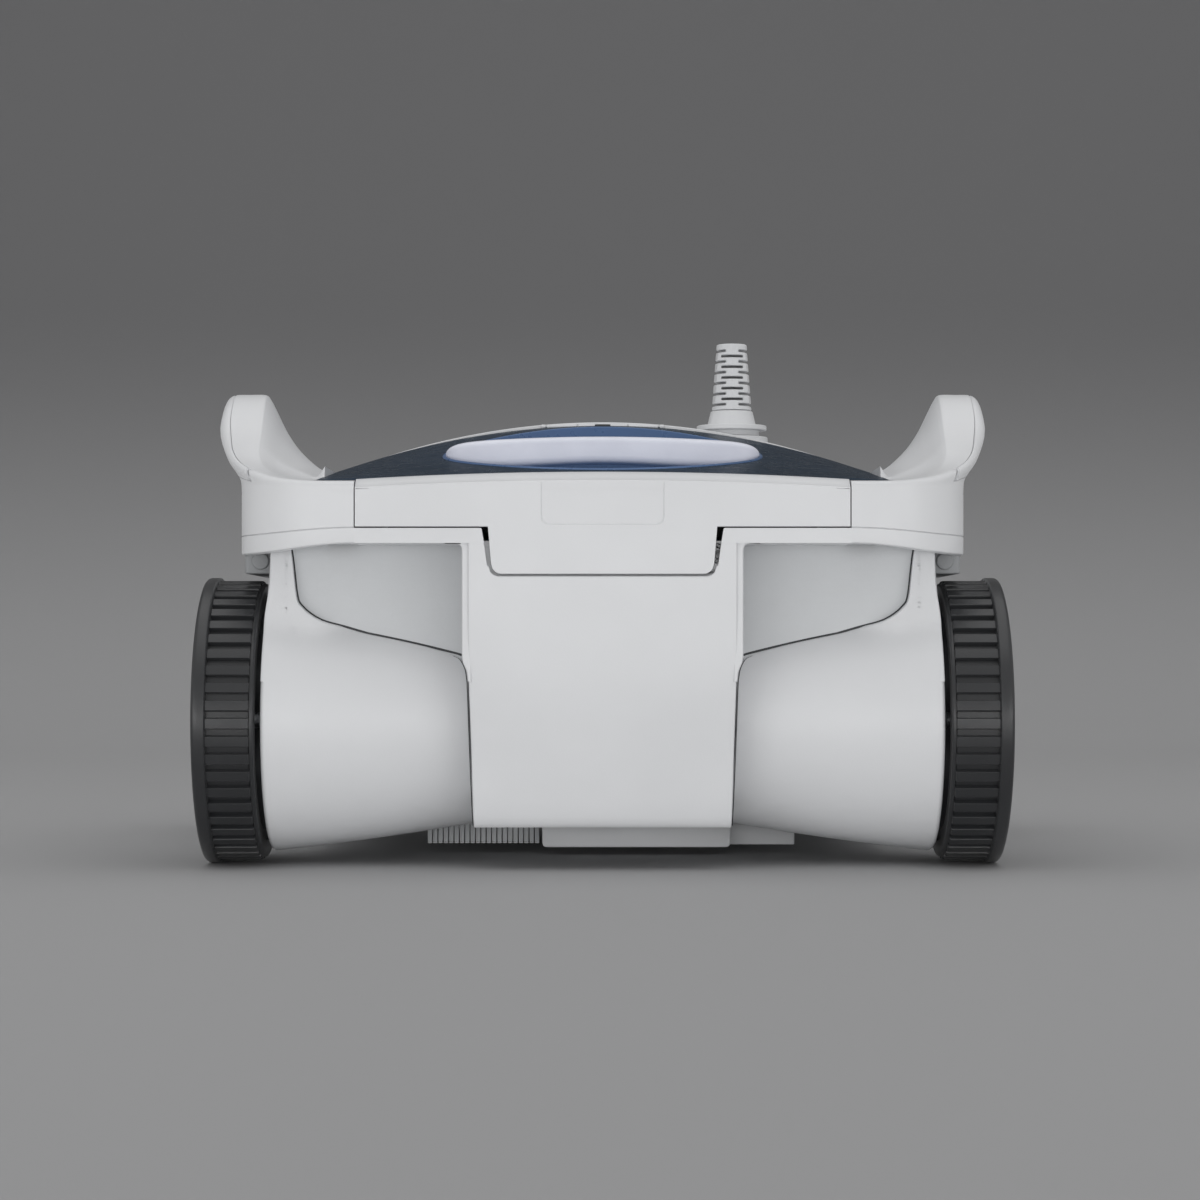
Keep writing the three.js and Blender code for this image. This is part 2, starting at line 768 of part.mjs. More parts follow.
// Front view of the right fin at its full height, rooted in the frame.
function finOutline() {
  const rootZ = frameTop - shellWall;
  const rootX = domeHalfWidth + finRootGap;
  return outline([
    [frameHalfWidth, rootZ],
    ...finPoints(frameHalfWidth, finLean, [
      [0.26, 0.04], [0.66, 0.3], [1, 0.65], [1, 0.83], [0.77, 0.955], [0.3, 1],
    ]),
    ...finPoints(frameHalfWidth, frameMargin, [
      [-0.18, 1], [-0.27, 0.78], [-0.445, 0.54], [-0.64, 0.34], [-0.83, 0.21],
    ]),
    [rootX, domeEdgeHeight + 6], [rootX, rootZ],
  ]);
}

// Side view of the fins: a steep front edge, a short level top and a long hollow rear slope.
function finProfile() {
  const rootZ = frameTop - shellWall;
  const frontRun = finFullFrontY - finFrontY;
  const backRun = finBackY - finFullBackY;
  return outline([
    [finFrontY, rootZ],
    ...finPoints(finFrontY, frontRun, [
      [0, 0.02], [0.23, 0.13], [0.51, 0.42], [0.77, 0.8], [0.9, 0.94], [1, 1],
    ]),
    ...finPoints(finFullBackY, backRun, [
      [0, 1], [0.08, 0.84], [0.19, 0.52], [0.36, 0.36], [0.6, 0.22], [0.8, 0.1], [1, 0.02],
    ]),
    [finBackY, rootZ],
  ]);
}

// Plan of the right fin, drawn in towards the frame's rounded corners.
function finPlan() {
  const inner = domeHalfWidth;
  const wide = frameHalfWidth + finLean;
  const corner = frameHalfLength - frameCorner;
  const half = [
    [inner, frameHalfLength], [frameHalfWidth - 0.62 * frameMargin, -finFrontY],
    [frameHalfWidth - 0.26 * frameMargin, corner + 0.54 * frameCorner], [frameHalfWidth, corner],
    [frameHalfWidth + 0.66 * finLean, corner - 0.56 * frameCorner], [wide, corner - 1.04 * frameCorner],
  ];
  const front = half.map(([x, y]) => [x, -y]);
  return outline([...front, ...[...half].reverse()]);
}

function finBody() {
  const reach = [domeHalfWidth - 1, frameHalfWidth + finLean + 1];
  const raised = prismY(finOutline(), [finFrontY - 1, finBackY + 1])
    .intersect(prismX(finProfile(), reach));
  return raised.intersect(prismZ(finPlan(), [frameTop - shellWall - 1, finTop + 1]));
}

// The outer layer of a fin, above a joint that runs along its length.
function finSkinZone(margin) {
  const innerTop = frameHalfWidth + finLean - finSkin - margin;
  const innerFoot = frameHalfWidth + 0.37 * finLean - finSkin - margin;
  const foot = frameTop + 0.19 * finRise - margin;
  const outer = frameHalfWidth + 2 * finLean;
  return prismY(outline([
    [innerFoot, foot], [outer, foot], [outer, finTop + 1], [innerTop, finTop + 1],
    [innerTop, frameTop + 0.56 * finRise],
  ]), [finFrontY - 1, finBackY + 1]);
}

function frameBody(fin) {
  const outer = prismZ(framePlan(0), [frameBottom, frameTop]);
  const opening = block([-frameOpeningHalfX, frameOpeningHalfX],
    [-frameOpeningHalfY, frameOpeningHalfY], [frameBottom - 1, frameTop + 1]);
  const hollow = prismZ(framePlan(-shellWall - 1), [frameBottom + shellWall, frameTop - shellWall]);
  const bandSeat = block([-lidHalfWidth - clearance, lidHalfWidth + clearance],
    [-frameHalfLength - 1, -frameOpeningHalfY + 1], [bandBottom, frameTop + 1]);
  const bandFloor = block([-lidHalfWidth - clearance - shellWall, lidHalfWidth + clearance + shellWall],
    [-frameHalfLength + 1, -frameOpeningHalfY], [frameBottom + 1, frameTop - 1]);
  const tongueNotch = prismY(tongueOutline(clearance + 0.7, bandBottom + 1),
    [-frameHalfLength - 1, -frameHalfLength + tongueThickness + clearance]);
  const rails = sides.map(([, side]) => {
    const x = [frameHalfWidth - railInnerInset, frameHalfWidth - railOuterInset];
    return block(x.map((value) => side * value), [-railHalfLength, railHalfLength],
      [railBottom, frameBottom + 1]);
  });
  const shell = union([outer.subtract(hollow), bandFloor, ...rails]);
  const cored = without(fin, [finSkinZone(clearance)]);
  const body = union([shell, cored, mirrored(cored, 'x')]);
  return without(body, [opening, bandSeat, tongueNotch]);
}

const finShape = finBody();
const finSkinBody = finShape.intersect(finSkinZone(0));
add('upper_frame', frameBody(finShape), whitePlastic);
add('fin_skin_right', finSkinBody, whitePlastic);
add('fin_skin_left', mirrored(finSkinBody, 'x'), whitePlastic);

// ---------------------------------------------------------------------------
// Domed top: window, rear deck and lid
// ---------------------------------------------------------------------------

const domeEdgeY = frameHalfLength - bandDepth - clearance;
const windowFrontY = -domeEdgeY;
const windowBackY = crownY - clearance;
const hingeHeight = windowCrown + hingeRise;
const hingeY = crownY - clearance / 2;
const knuckleInner = knuckleOffset - knuckleLength / 2;
const knuckleOuter = knuckleOffset + knuckleLength / 2;
const armFrontY = windowBackY - 5;
const lugGap = 0.6;               // between a knuckle and the lug beside it
const lugLength = 8;
const pinHalfLength = knuckleOuter + lugGap + lugLength;

// Height of the domed top. It rises from both edges to a ridge, which arches
// across the body and falls away towards its sides.
function domeHeight(x, y, crown) {
  const ridge = crown - archDrop * (x / domeHalfWidth) ** 2;
  const run = y < crownY ? (y + domeEdgeY) / (crownY + domeEdgeY)
    : (domeEdgeY - y) / (domeEdgeY - crownY);
  const share = run + domeBulge * run * (1 - run);
  return domeEdgeHeight + (ridge - domeEdgeHeight) * share;
}

// A slab that follows the dome at a depth below it.
function domeSlab([x0, x1], [y0, y1], crown, depth, thickness, cells) {
  return shaped([cells[0], cells[1], 1], (u, v, w) => {
    const x = lerp(x0, x1, u);
    const y = lerp(y0, y1, v);
    return [x, y, domeHeight(x, y, crown) - depth - (1 - w) * thickness];
  });
}

// A round pillar that stands in the handle's recess, grown by a margin.
function recessPillar(margin, [z0, z1]) {
  return rodZ(handleHalfLength + recessMargin + margin, 0, handleY, [z0, z1], 28);
}

function windowBody() {
  const span = [-domeHalfWidth, domeHalfWidth];
  const pane = domeSlab(span, [windowFrontY, windowBackY], windowCrown, 0, windowWall, [10, 6]);
  const top = domeHeight(0, windowBackY, windowCrown) + 5;
  const below = domeSlab(span, [windowFrontY, windowBackY], windowCrown, 1,
    windowCrown - recessFloor + windowWall, [10, 6]);
  const cup = recessPillar(windowWall, [recessFloor - windowWall, top]).intersect(below);
  const hollow = recessPillar(0, [recessFloor, top + 1]);
  const lugHoles = sides.map(([, side]) => {
    const start = side * (handleHalfLength - 1);
    const reach = side * (handleHalfLength + handleLug + clearance);
    return block([start, reach], [handleY - 5 - clearance, handleY + 5 + clearance],
      [lugBottom - clearance, lugTop + clearance]);
  });
  const sockets = sides.map(([, side]) => (
    block([side * (handleHalfLength + recessMargin + 1), side * (handleHalfLength + handleLug + 3)],
      [handleY - 9, handleY + 9], [lugBottom - 4, lugTop + 4])
  ));
  const hingeGap = block([-pinHalfLength - 1, pinHalfLength + 1], [armFrontY - clearance, 0],
    [windowCrown - 20, windowCrown + 9]);
  return without(union([pane, cup, ...sockets]), [hollow, ...lugHoles, hingeGap]);
}

const lugBottom = handleTop - handleThickness + 3.5;
const lugTop = lugBottom + 4;

// Carry bar with a gently arched top and a lug at each end.
function handleBody() {
  const halfWidth = handleWidth / 2;
  const bar = shaped([12, 2, 1], (u, v, w) => {
    const along = 2 * u - 1;
    const end = Math.sqrt(Math.max(0, 1 - Math.max(0, (Math.abs(along) - 0.86) / 0.14) ** 2 * 0.75));
    const fall = handleSag * along ** 2;
    const middle = handleTop - fall - handleThickness / 2;
    return [
      along * handleHalfLength,
      handleY + (2 * v - 1) * halfWidth * end,
      middle + (w - 0.5) * handleThickness * end,
    ];
  });
  const lugs = sides.map(([, side]) => block(
    [side * (handleHalfLength - 3), side * (handleHalfLength + handleLug)],
    [handleY - 5, handleY + 5], [lugBottom, lugTop],
  ));
  return union([bar, ...lugs]);
}

// White lid frame: the front band with its tongue, two side rails that follow
// the window, and a rear bar with the hinge knuckles.
function lidFrameBody() {
  const bandBack = -frameHalfLength + bandDepth;
  const bandTop = domeEdgeHeight - clearance - 0.7;
  const band = block([-lidHalfWidth, lidHalfWidth], [-frameHalfLength, bandBack],
    [bandBottom + clearance, bandTop]);
  const tongue = prismY(tongueOutline(0, bandBottom + 2),
    [-frameHalfLength, -frameHalfLength + tongueThickness]);
  const depth = windowWall + railGap;
  const rails = sides.map(([, side]) => {
    const x = [side * (lidHalfWidth - railWidth), side * lidHalfWidth].sort((a, b) => a - b);
    return domeSlab(x, [bandBack - 2, windowBackY], windowCrown, depth, railHeight, [1, 6]);
  });
  const rearBar = domeSlab([-lidHalfWidth + 1, lidHalfWidth - 1],
    [windowBackY - railWidth, windowBackY], windowCrown, depth, railHeight, [8, 1]);
  const shelf = block([-lidHalfWidth, lidHalfWidth], [bandBack - 2, bandBack + 5],
    [bandTop - 8, domeHeight(0, bandBack, windowCrown) - depth - 1]);
  const knuckles = sides.map(([, side]) => {
    const middle = side * knuckleOffset;
    const span = [middle - knuckleLength / 2, middle + knuckleLength / 2];
    const arm = block(span, [armFrontY, hingeY],
      [hingeHeight - knuckleRadius - 2, hingeHeight]);
    return rodX(knuckleRadius, span, hingeY, hingeHeight, 12).add(arm);
  });
  const pinHole = rodX(hingePinRadius + clearance, [-pinHalfLength, pinHalfLength],
    hingeY, hingeHeight, 12);
  const labelPad = block([-labelPadHalf, labelPadHalf],
    [-frameHalfLength - 1, -frameHalfLength + labelPadDepth], labelPadZ);
  return without(union([band, tongue, ...rails, rearBar, shelf, ...knuckles]), [pinHole, labelPad]);
}

// White rear deck with the arched ridge, the pump outlet and the cable seat.
function deckBody() {
  const span = [-domeHalfWidth, domeHalfWidth];
  const deck = domeSlab(span, [crownY, domeEdgeY], deckCrown, 0, shellWall, [10, 6]);
  const rib = domeSlab(span, [crownY, crownY + shellWall], deckCrown, 0, 9, [10, 1]);
  const seat = rodZ(swivelBaseRadius + 3, swivelX, swivelY, [swivelSeat - 12, swivelSeat], 20);
  const collar = rodZ(ductBore + ductWall + 3, 0, pumpY, [deckCrown - 26, deckCrown - 6], 20);
  const under = domeSlab(span, [crownY, domeEdgeY], deckCrown, 1, 40, [10, 6]);
  const outlet = rodZ(ductBore + ductWall + clearance, 0, pumpY, [frameBottom, deckCrown + 1], 24);
  const seatCut = rodZ(swivelBaseRadius + 1.5, swivelX, swivelY, [swivelSeat, swivelSeat + 20], 20);
  const lugSpans = [
    [-pinHalfLength, -knuckleOuter - lugGap], [-knuckleInner + lugGap, knuckleInner - lugGap],
    [knuckleOuter + lugGap, pinHalfLength],
  ];
  const lugs = lugSpans.map((reach) => rodX(knuckleRadius, reach, hingeY, hingeHeight, 12)
    .add(block(reach, [hingeY, crownY + 2], [hingeHeight - knuckleRadius, hingeHeight + 1])));
  const swing = sides.map(([, side]) => {
    const reach = knuckleLength / 2 + lugGap;
    const middle = side * knuckleOffset;
    return block([middle - reach, middle + reach], [crownY - 1, hingeY + knuckleRadius + 1],
      [hingeHeight - 14, hingeHeight + 20]);
  });
  const pinHole = rodX(hingePinRadius + clearance, [-pinHalfLength - 1, pinHalfLength + 1],
    hingeY, hingeHeight, 12);
  const body = union([deck, rib, seat, collar.intersect(under), ...lugs]);
  return without(body, [outlet, seatCut, pinHole, ...swing]);
}

add('lid_window', windowBody(), blueWindow);
add('lid_handle', handleBody(), handlePlastic);
add('lid_frame', lidFrameBody(), whitePlastic);
add('rear_deck', deckBody(), whitePlastic);
add('lid_hinge_pin', rodX(hingePinRadius, [-pinHalfLength, pinHalfLength], hingeY, hingeHeight, 12), steel);

// ---------------------------------------------------------------------------
// Underside: suction skirt with its flap, and the comb beside it
// ---------------------------------------------------------------------------

const skirtTop = tubFloor - clearance;
const flapX = [inletX[0] - 3, inletX[1] + 3];
const flapHingeY = inletY[1] + 3.2;
const flapSeat = tubFloor + shellWall;
const flapPinZ = flapSeat + flapPinRadius + 1.2;

// Open-bottomed funnel that draws water in just above the floor.
function skirtBody() {
  const inset = 8;
  const outer = shaped([1, 1, 1], (u, v, w) => [
    lerp(skirtLeft, skirtRight, u) + (w - 1) * (u - 0.5) * inset,
    lerp(skirtFrontY, skirtBackY, v),
    lerp(skirtBottom, skirtTop, w),
  ]);
  const throat = block(inletX, inletY, [skirtBottom - 1, skirtTop + 1]);
  return outer.subtract(throat);
}

// Flap that lies over the inlet and lifts with the water that comes in.
function flapBody() {
  const leafBottom = flapSeat + clearance;
  const leaf = block(flapX, [inletY[0] - 2, flapHingeY - 1], [leafBottom, leafBottom + flapThickness]);
  const barrel = rodX(flapPinRadius + 1.2, [flapX[0] + 6, flapX[1] - 6], flapHingeY, flapPinZ, 12);
  const bore = rodX(flapPinRadius + clearance, [flapX[0], flapX[1]], flapHingeY, flapPinZ, 12);
  return leaf.add(barrel).subtract(bore);
}

// Comb of short teeth that lets water pass but keeps large leaves out.
function combBody() {
  const right = skirtLeft - 1;
  const y = [skirtMiddleY - combDepth / 2, skirtMiddleY + combDepth / 2];
  const bar = block([combLeft, right], y, [combBottom, skirtTop]);
  const slots = [];
  for (let x = combLeft + combPitch; x < right - combSlot * 1.5; x += combPitch) {
    slots.push(block([x - combSlot / 2, x + combSlot / 2], inset(y, -1),
      [combBottom - 1, skirtTop - 3]));
  }
  return without(bar, slots);
}

add('suction_skirt', skirtBody(), whitePlastic);
add('inlet_flap', flapBody(), darkPlastic);
add('flap_pin', rodX(flapPinRadius, [flapX[0] - 2, flapX[1] + 2], flapHingeY, flapPinZ, 12), steel);
add('inlet_comb', combBody(), whitePlastic);

// ---------------------------------------------------------------------------
// Filter basket
// ---------------------------------------------------------------------------

const basketX = [-basketHalfWidth, basketHalfWidth];
const basketY = [basketFrontY, basketBackY];

// Closed side walls, a window in the front and the rear wall, open at the top, on four short legs.
function basketBody() {
  const shell = block(basketX, basketY, [basketBottom, basketTop]).subtract(block(
    [basketX[0] + basketWall, basketX[1] - basketWall], [basketY[0] + basketWall, basketY[1] - basketWall],
    [basketBottom + basketWall, basketTop + 1],
  ));
  const windowZ = [basketBottom + basketFrameBar, basketTop - basketFrameBar];
  const meshBays = block([basketX[0] + basketFrameBar, basketX[1] - basketFrameBar],
    [basketY[0] - 1, basketY[1] + 1], windowZ);
  const mouth = block(inletX, inletY, [basketBottom - 1, basketBottom + basketWall + 1]);
  const legs = [];
  [basketY[0] + basketLegInset, basketY[1] - basketLegWidth].forEach((y) => {
    [basketX[0], basketX[1] - basketLegWidth].forEach((x) => {
      legs.push(block([x, x + basketLegWidth], [y, y + basketLegWidth],
        [flapSeat + clearance, basketBottom + basketWall]));
    });
  });
  return union([without(shell, [meshBays, mouth]), ...legs]);
}

function meshBody(y) {
  const lap = 3;
  return block([basketX[0] + basketFrameBar - lap, basketX[1] - basketFrameBar + lap],
    [y - meshThickness / 2, y + meshThickness / 2],
    [basketBottom + basketFrameBar - lap, basketTop - basketFrameBar + lap]);
}

const meshInset = basketWall + clearance + meshThickness / 2;
add('filter_basket', basketBody(), darkPlastic);
add('filter_mesh_front', meshBody(basketY[0] + meshInset), filterMesh);
add('filter_mesh_rear', meshBody(basketY[1] - meshInset), filterMesh);

// ---------------------------------------------------------------------------
// Sealed motor unit, pump and outlet
// ---------------------------------------------------------------------------

const boxX = [-boxHalfWidth, boxHalfWidth];
const boxY = [boxFrontY, boxBackY];
const sealBottom = boxTop + clearance;
const coverBottom = sealBottom + sealHeight + clearance;
const coverTop = coverBottom + boxCoverHeight;
const floorTop = tubFloor + shellWall;
const boxFloor = boxBottom + shellWall;
const boxFloorSeat = boxFloor + clearance;
const pumpMotorTop = boxTop - pumpMotorHeadroom;

// A floor-standing box with an open top, holes for the shafts and four feet.
function motorBoxBody() {
  const outer = block(boxX, boxY, [boxBottom, boxTop]);
  const inner = block(inset(boxX, shellWall), inset(boxY, shellWall), [boxFloor, boxTop + 1]);
  const shaftHoles = rodX(axleRadius + 1, inset(boxX, -1), 0, axleHeight, 12);
  const footZ = [floorTop + clearance, boxBottom + 1];
  const feet = [[boxX[0], boxX[0] + boxFoot], [boxX[1] - boxFoot, boxX[1]]].flatMap((x) => [
    block(x, [boxY[0], boxY[0] + boxFoot], footZ),
    block(x, [boxY[1] - boxFoot, boxY[1]], footZ),
  ]);
  return without(union([outer, ...feet]), [inner, shaftHoles]);
}

function sealBody() {
  const z = [sealBottom, sealBottom + sealHeight];
  const outer = block(inset(boxX, 1), inset(boxY, 1), z);
  return outer.subtract(block(inset(boxX, shellWall), inset(boxY, shellWall), inset(z, -1)));
}

function boxCoverBody() {
  const plate = block(boxX, boxY, [coverBottom, coverTop]);
  const shaftHole = rodZ(pumpShaftRadius + clearance, 0, pumpY, [coverBottom - 1, coverTop + 1], 12);
  return plate.subtract(shaftHole);
}

// Geared motor lying across the box on a foot.
function driveMotorBody(side) {
  const outerX = side * (boxHalfWidth - shellWall - clearance);
  const innerX = side * (boxHalfWidth - shellWall - driveMotorLength);
  const can = rodX(driveMotorRadius, [innerX, outerX], 0, axleHeight, 20);
  const footX = inset([Math.min(innerX, outerX), Math.max(innerX, outerX)], motorFootInset);
  const foot = block(footX, [-motorFootHalfWidth, motorFootHalfWidth],
    [boxFloorSeat, axleHeight - driveMotorRadius + 2]);
  return can.add(foot);
}

// Vertical pump motor; its upper end carries the impeller's shaft.
function pumpMotorBody() {
  return rodZ(pumpMotorRadius, 0, pumpY, [boxFloorSeat, pumpMotorTop], 24);
}

const impellerBottom = coverTop + impellerLift;
const impellerTop = impellerBottom + impellerHeight;

// Shaft, hub and pitched blades, turning on the pump motor. The hub has two
// sides for each blade, so that every blade grows out of the middle of one.
function impellerBody() {
  const shaft = rodZ(pumpShaftRadius, 0, 0, [pumpMotorTop + clearance, impellerBottom + 1], 12);
  const hub = rodZ(impellerHubRadius, 0, 0, [impellerBottom, impellerTop], 2 * impellerBlades,
    impellerHubTip);
  const bladeZ = inset([impellerBottom, impellerTop], bladeMargin);
  const blades = [];
  for (let i = 0; i < impellerBlades; i += 1) {
    const turn = (i * 2 * Math.PI) / impellerBlades;
    blades.push(shaped([3, 1, 1], (u, v, w) => {
      const radius = lerp(bladeRoot, impellerRadius, u);
      const pitch = lerp(bladeRootPitch, bladeTipPitch, u);
      const angle = turn + (v - 0.5) * bladeArc + (w - 0.5) * pitch;
      return [radius * Math.cos(angle), radius * Math.sin(angle), lerp(bladeZ[0], bladeZ[1], w)];
    }));
  }
  return translated(union([shaft, hub, ...blades]), 0, pumpY, 0);
}

const ductBottom = coverTop + clearance;
const ductTop = domeHeight(0, pumpY, deckCrown) - 4;

function ductBody() {
  const tube = rodZ(ductBore + ductWall, 0, pumpY, [ductBottom, ductTop], 24);
  const bore = rodZ(ductBore, 0, pumpY, [ductBottom - 1, ductTop + 1], 24);
  const intake = block([-ductBore - 9, ductBore + 9], [pumpY - intakeHalfWidth, pumpY + intakeHalfWidth],
    [ductBottom - 1, ductBottom + intakeHeight]);
  return without(tube, [bore, intake]);
}

// Guard with a rim and crossed spokes, over the outlet.
function grilleBody() {
  const z = [ductTop + clearance, ductTop + clearance + 3];
  const rim = rodZ(ductBore + ductWall, 0, pumpY, z, 24).subtract(
    rodZ(ductBore - 1, 0, pumpY, [z[0] - 1, z[1] + 1], 24));
  const spokes = [0, 1, 2].map((i) => {
    const bar = block([-ductBore, ductBore], [-1.5, 1.5], z);
    const turned = geometryOf(bar);
    turned.rotateZ((i * Math.PI) / 3);
    turned.translate(0, pumpY, 0);
    return solid(turned);
  });
  return union([rim, ...spokes]);
}

add('motor_box', motorBoxBody(), darkPlastic);
add('motor_box_seal', sealBody(), sealRubber);
add('motor_box_cover', boxCoverBody(), darkPlastic);
add('drive_motor_left', driveMotorBody(-1), motorCan);
add('drive_motor_right', driveMotorBody(1), motorCan);
add('pump_motor', pumpMotorBody(), motorCan);
add('impeller', impellerBody(), darkPlastic);
add('control_board', block(boardX, boardY, [boxFloorSeat, boxFloorSeat + boardThickness]),
  boardGreen);
add('outlet_duct', ductBody(), whitePlastic);
add('outlet_grille', grilleBody(), greyPlastic);

// ---------------------------------------------------------------------------
// Cable swivel and strain relief
// ---------------------------------------------------------------------------

const baseTop = swivelSeat + clearance + swivelBaseHeight;
const neckBottom = baseTop + clearance;
const flangeBottom = neckBottom + swivelNeckHeight;
const collarBottom = flangeBottom + swivelFlangeHeight;
const reliefBottom = collarBottom + collarHeight;
const reliefTop = reliefBottom + reliefHeight;

function swivelBaseBody() {
  return rodZ(swivelBaseRadius, swivelX, swivelY, [swivelSeat + clearance, baseTop], 28);
}

function swivelCollarBody() {
  const neck = rodZ(swivelNeckRadius, swivelX, swivelY, [neckBottom, flangeBottom + 0.5], 24);
  const flange = rodZ(swivelFlangeRadius, swivelX, swivelY, [flangeBottom, collarBottom], 28);
  const collar = rodZ(collarRadius, swivelX, swivelY, [collarBottom - 0.5, reliefBottom - clearance], 24,
    collarRadius - 2);
  return union([neck, flange, collar]);
}

// Tapered boot, cut by turns from both sides and through its middle so that
// it bends with the cable.
function reliefBody() {
  const boot = rodZ(reliefBaseRadius, 0, 0, [reliefBottom, reliefTop], 12, reliefTipRadius);
  const pitch = (reliefTop - reliefBottom - 4) / (reliefSlots + 0.5);
  const cutters = [];
  for (let i = 0; i <= reliefSlots; i += 1) {
    const z = reliefBottom + 3 + i * pitch;
    const notch = [z - reliefSlotHeight / 2, z + reliefSlotHeight / 2];
    sides.forEach(([, side]) => {
      cutters.push(block([side * 3.4, side * 14], [-14, 14], notch));
    });
    if (i < reliefSlots) {
      const slot = [z + pitch / 2 - reliefSlotHeight / 2, z + pitch / 2 + reliefSlotHeight / 2];
      cutters.push(block([-6, 6], [-14, 14], slot));
    }
  }
  return translated(without(boot, cutters), swivelX, swivelY, 0);
}

add('swivel_base', swivelBaseBody(), whitePlastic);
add('swivel_collar', swivelCollarBody(), whitePlastic);
add('strain_relief', reliefBody(), whitePlastic);

export default cleaner;
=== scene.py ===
"""Pool cleaner: detailed shells, wheels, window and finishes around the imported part.

The row frame has X to the right, Y to the back and Z up, with the origin under the middle
of the cleaner. Shapes are worked out in millimetres and become metres in their meshes.
"""

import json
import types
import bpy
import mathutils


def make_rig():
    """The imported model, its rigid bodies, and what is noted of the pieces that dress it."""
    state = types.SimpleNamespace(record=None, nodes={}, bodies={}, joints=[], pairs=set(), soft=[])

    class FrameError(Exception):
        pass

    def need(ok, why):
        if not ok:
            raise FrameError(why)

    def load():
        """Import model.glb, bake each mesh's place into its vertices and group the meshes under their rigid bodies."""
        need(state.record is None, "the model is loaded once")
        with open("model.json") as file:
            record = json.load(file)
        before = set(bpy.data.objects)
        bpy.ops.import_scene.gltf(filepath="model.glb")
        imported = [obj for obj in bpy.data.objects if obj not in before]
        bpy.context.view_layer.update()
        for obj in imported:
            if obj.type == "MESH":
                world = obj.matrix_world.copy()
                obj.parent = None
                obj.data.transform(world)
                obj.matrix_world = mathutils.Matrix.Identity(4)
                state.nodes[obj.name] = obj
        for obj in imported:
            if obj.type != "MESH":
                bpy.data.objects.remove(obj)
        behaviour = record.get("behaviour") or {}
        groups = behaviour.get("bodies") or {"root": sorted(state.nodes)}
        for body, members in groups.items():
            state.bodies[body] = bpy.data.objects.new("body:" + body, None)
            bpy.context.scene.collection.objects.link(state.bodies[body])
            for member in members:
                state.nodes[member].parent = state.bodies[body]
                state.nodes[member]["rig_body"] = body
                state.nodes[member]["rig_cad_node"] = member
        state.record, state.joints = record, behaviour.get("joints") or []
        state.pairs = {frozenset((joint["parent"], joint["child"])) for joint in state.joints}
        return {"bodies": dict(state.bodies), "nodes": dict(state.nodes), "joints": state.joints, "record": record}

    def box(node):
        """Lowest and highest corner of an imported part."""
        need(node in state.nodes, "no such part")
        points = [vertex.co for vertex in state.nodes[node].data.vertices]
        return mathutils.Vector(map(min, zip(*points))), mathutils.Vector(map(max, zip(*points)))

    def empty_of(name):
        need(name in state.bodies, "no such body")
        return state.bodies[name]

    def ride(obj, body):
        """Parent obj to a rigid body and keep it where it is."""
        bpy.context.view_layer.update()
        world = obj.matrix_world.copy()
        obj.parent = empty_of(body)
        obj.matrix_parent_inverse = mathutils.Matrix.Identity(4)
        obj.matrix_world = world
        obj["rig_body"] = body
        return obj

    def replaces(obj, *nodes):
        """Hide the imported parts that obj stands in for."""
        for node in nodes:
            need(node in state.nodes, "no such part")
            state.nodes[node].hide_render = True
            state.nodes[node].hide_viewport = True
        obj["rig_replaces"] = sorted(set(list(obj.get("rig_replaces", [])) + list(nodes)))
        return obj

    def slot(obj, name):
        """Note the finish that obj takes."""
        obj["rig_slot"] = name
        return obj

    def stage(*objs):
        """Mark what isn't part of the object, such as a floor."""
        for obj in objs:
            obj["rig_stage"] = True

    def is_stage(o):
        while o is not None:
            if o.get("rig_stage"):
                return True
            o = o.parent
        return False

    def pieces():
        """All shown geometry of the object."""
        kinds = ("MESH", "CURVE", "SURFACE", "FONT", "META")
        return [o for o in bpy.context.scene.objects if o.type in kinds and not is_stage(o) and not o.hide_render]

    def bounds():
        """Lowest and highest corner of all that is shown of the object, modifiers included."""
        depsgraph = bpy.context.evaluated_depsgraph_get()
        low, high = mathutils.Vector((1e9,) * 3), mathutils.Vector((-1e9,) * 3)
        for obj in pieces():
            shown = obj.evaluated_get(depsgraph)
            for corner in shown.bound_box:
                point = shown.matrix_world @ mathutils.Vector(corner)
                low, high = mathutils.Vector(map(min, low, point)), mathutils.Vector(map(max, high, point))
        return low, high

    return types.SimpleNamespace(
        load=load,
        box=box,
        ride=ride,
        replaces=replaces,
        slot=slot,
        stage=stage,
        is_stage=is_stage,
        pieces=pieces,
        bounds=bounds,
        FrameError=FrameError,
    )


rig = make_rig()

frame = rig.load()

import json
import logging
import math
from dataclasses import dataclass, field
from enum import Enum
from typing import Dict, List, Optional, Sequence, Tuple, Union

import bmesh
import bpy
import numpy as np
from mathutils import Vector

Array = np.ndarray
Pair = Tuple[float, float]
Colour = Tuple[float, float, float]
Socket = bpy.types.NodeSocket
Material = bpy.types.Material

MM = 0.001
FLAT_ANGLE = 0.6  # degrees, below which the faces of a CAD node melt into one
SHARP_ANGLE = 32.0  # degrees, above which most edges are shaded sharp
SIZE_FILE = "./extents.json"
LOG = logging.getLogger("pool_cleaner")


class Direction(Enum):
    """Named direction whose value is the sign of its coordinate."""

    @property
    def word(self) -> str:
        """The direction's word in node names."""
        return self.name.lower()


class Side(Direction):
    """Side of the cleaner, as the sign of its X."""

    LEFT = -1
    RIGHT = 1


class End(Direction):
    """End of the cleaner, as the sign of its Y."""

    FRONT = -1
    REAR = 1


# --- Small numeric helpers ---


def limits(node: str) -> Tuple[Array, Array]:
    """Lowest and highest corner of a CAD node, in millimetres."""
    low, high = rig.box(node)
    return np.array(low) / MM, np.array(high) / MM


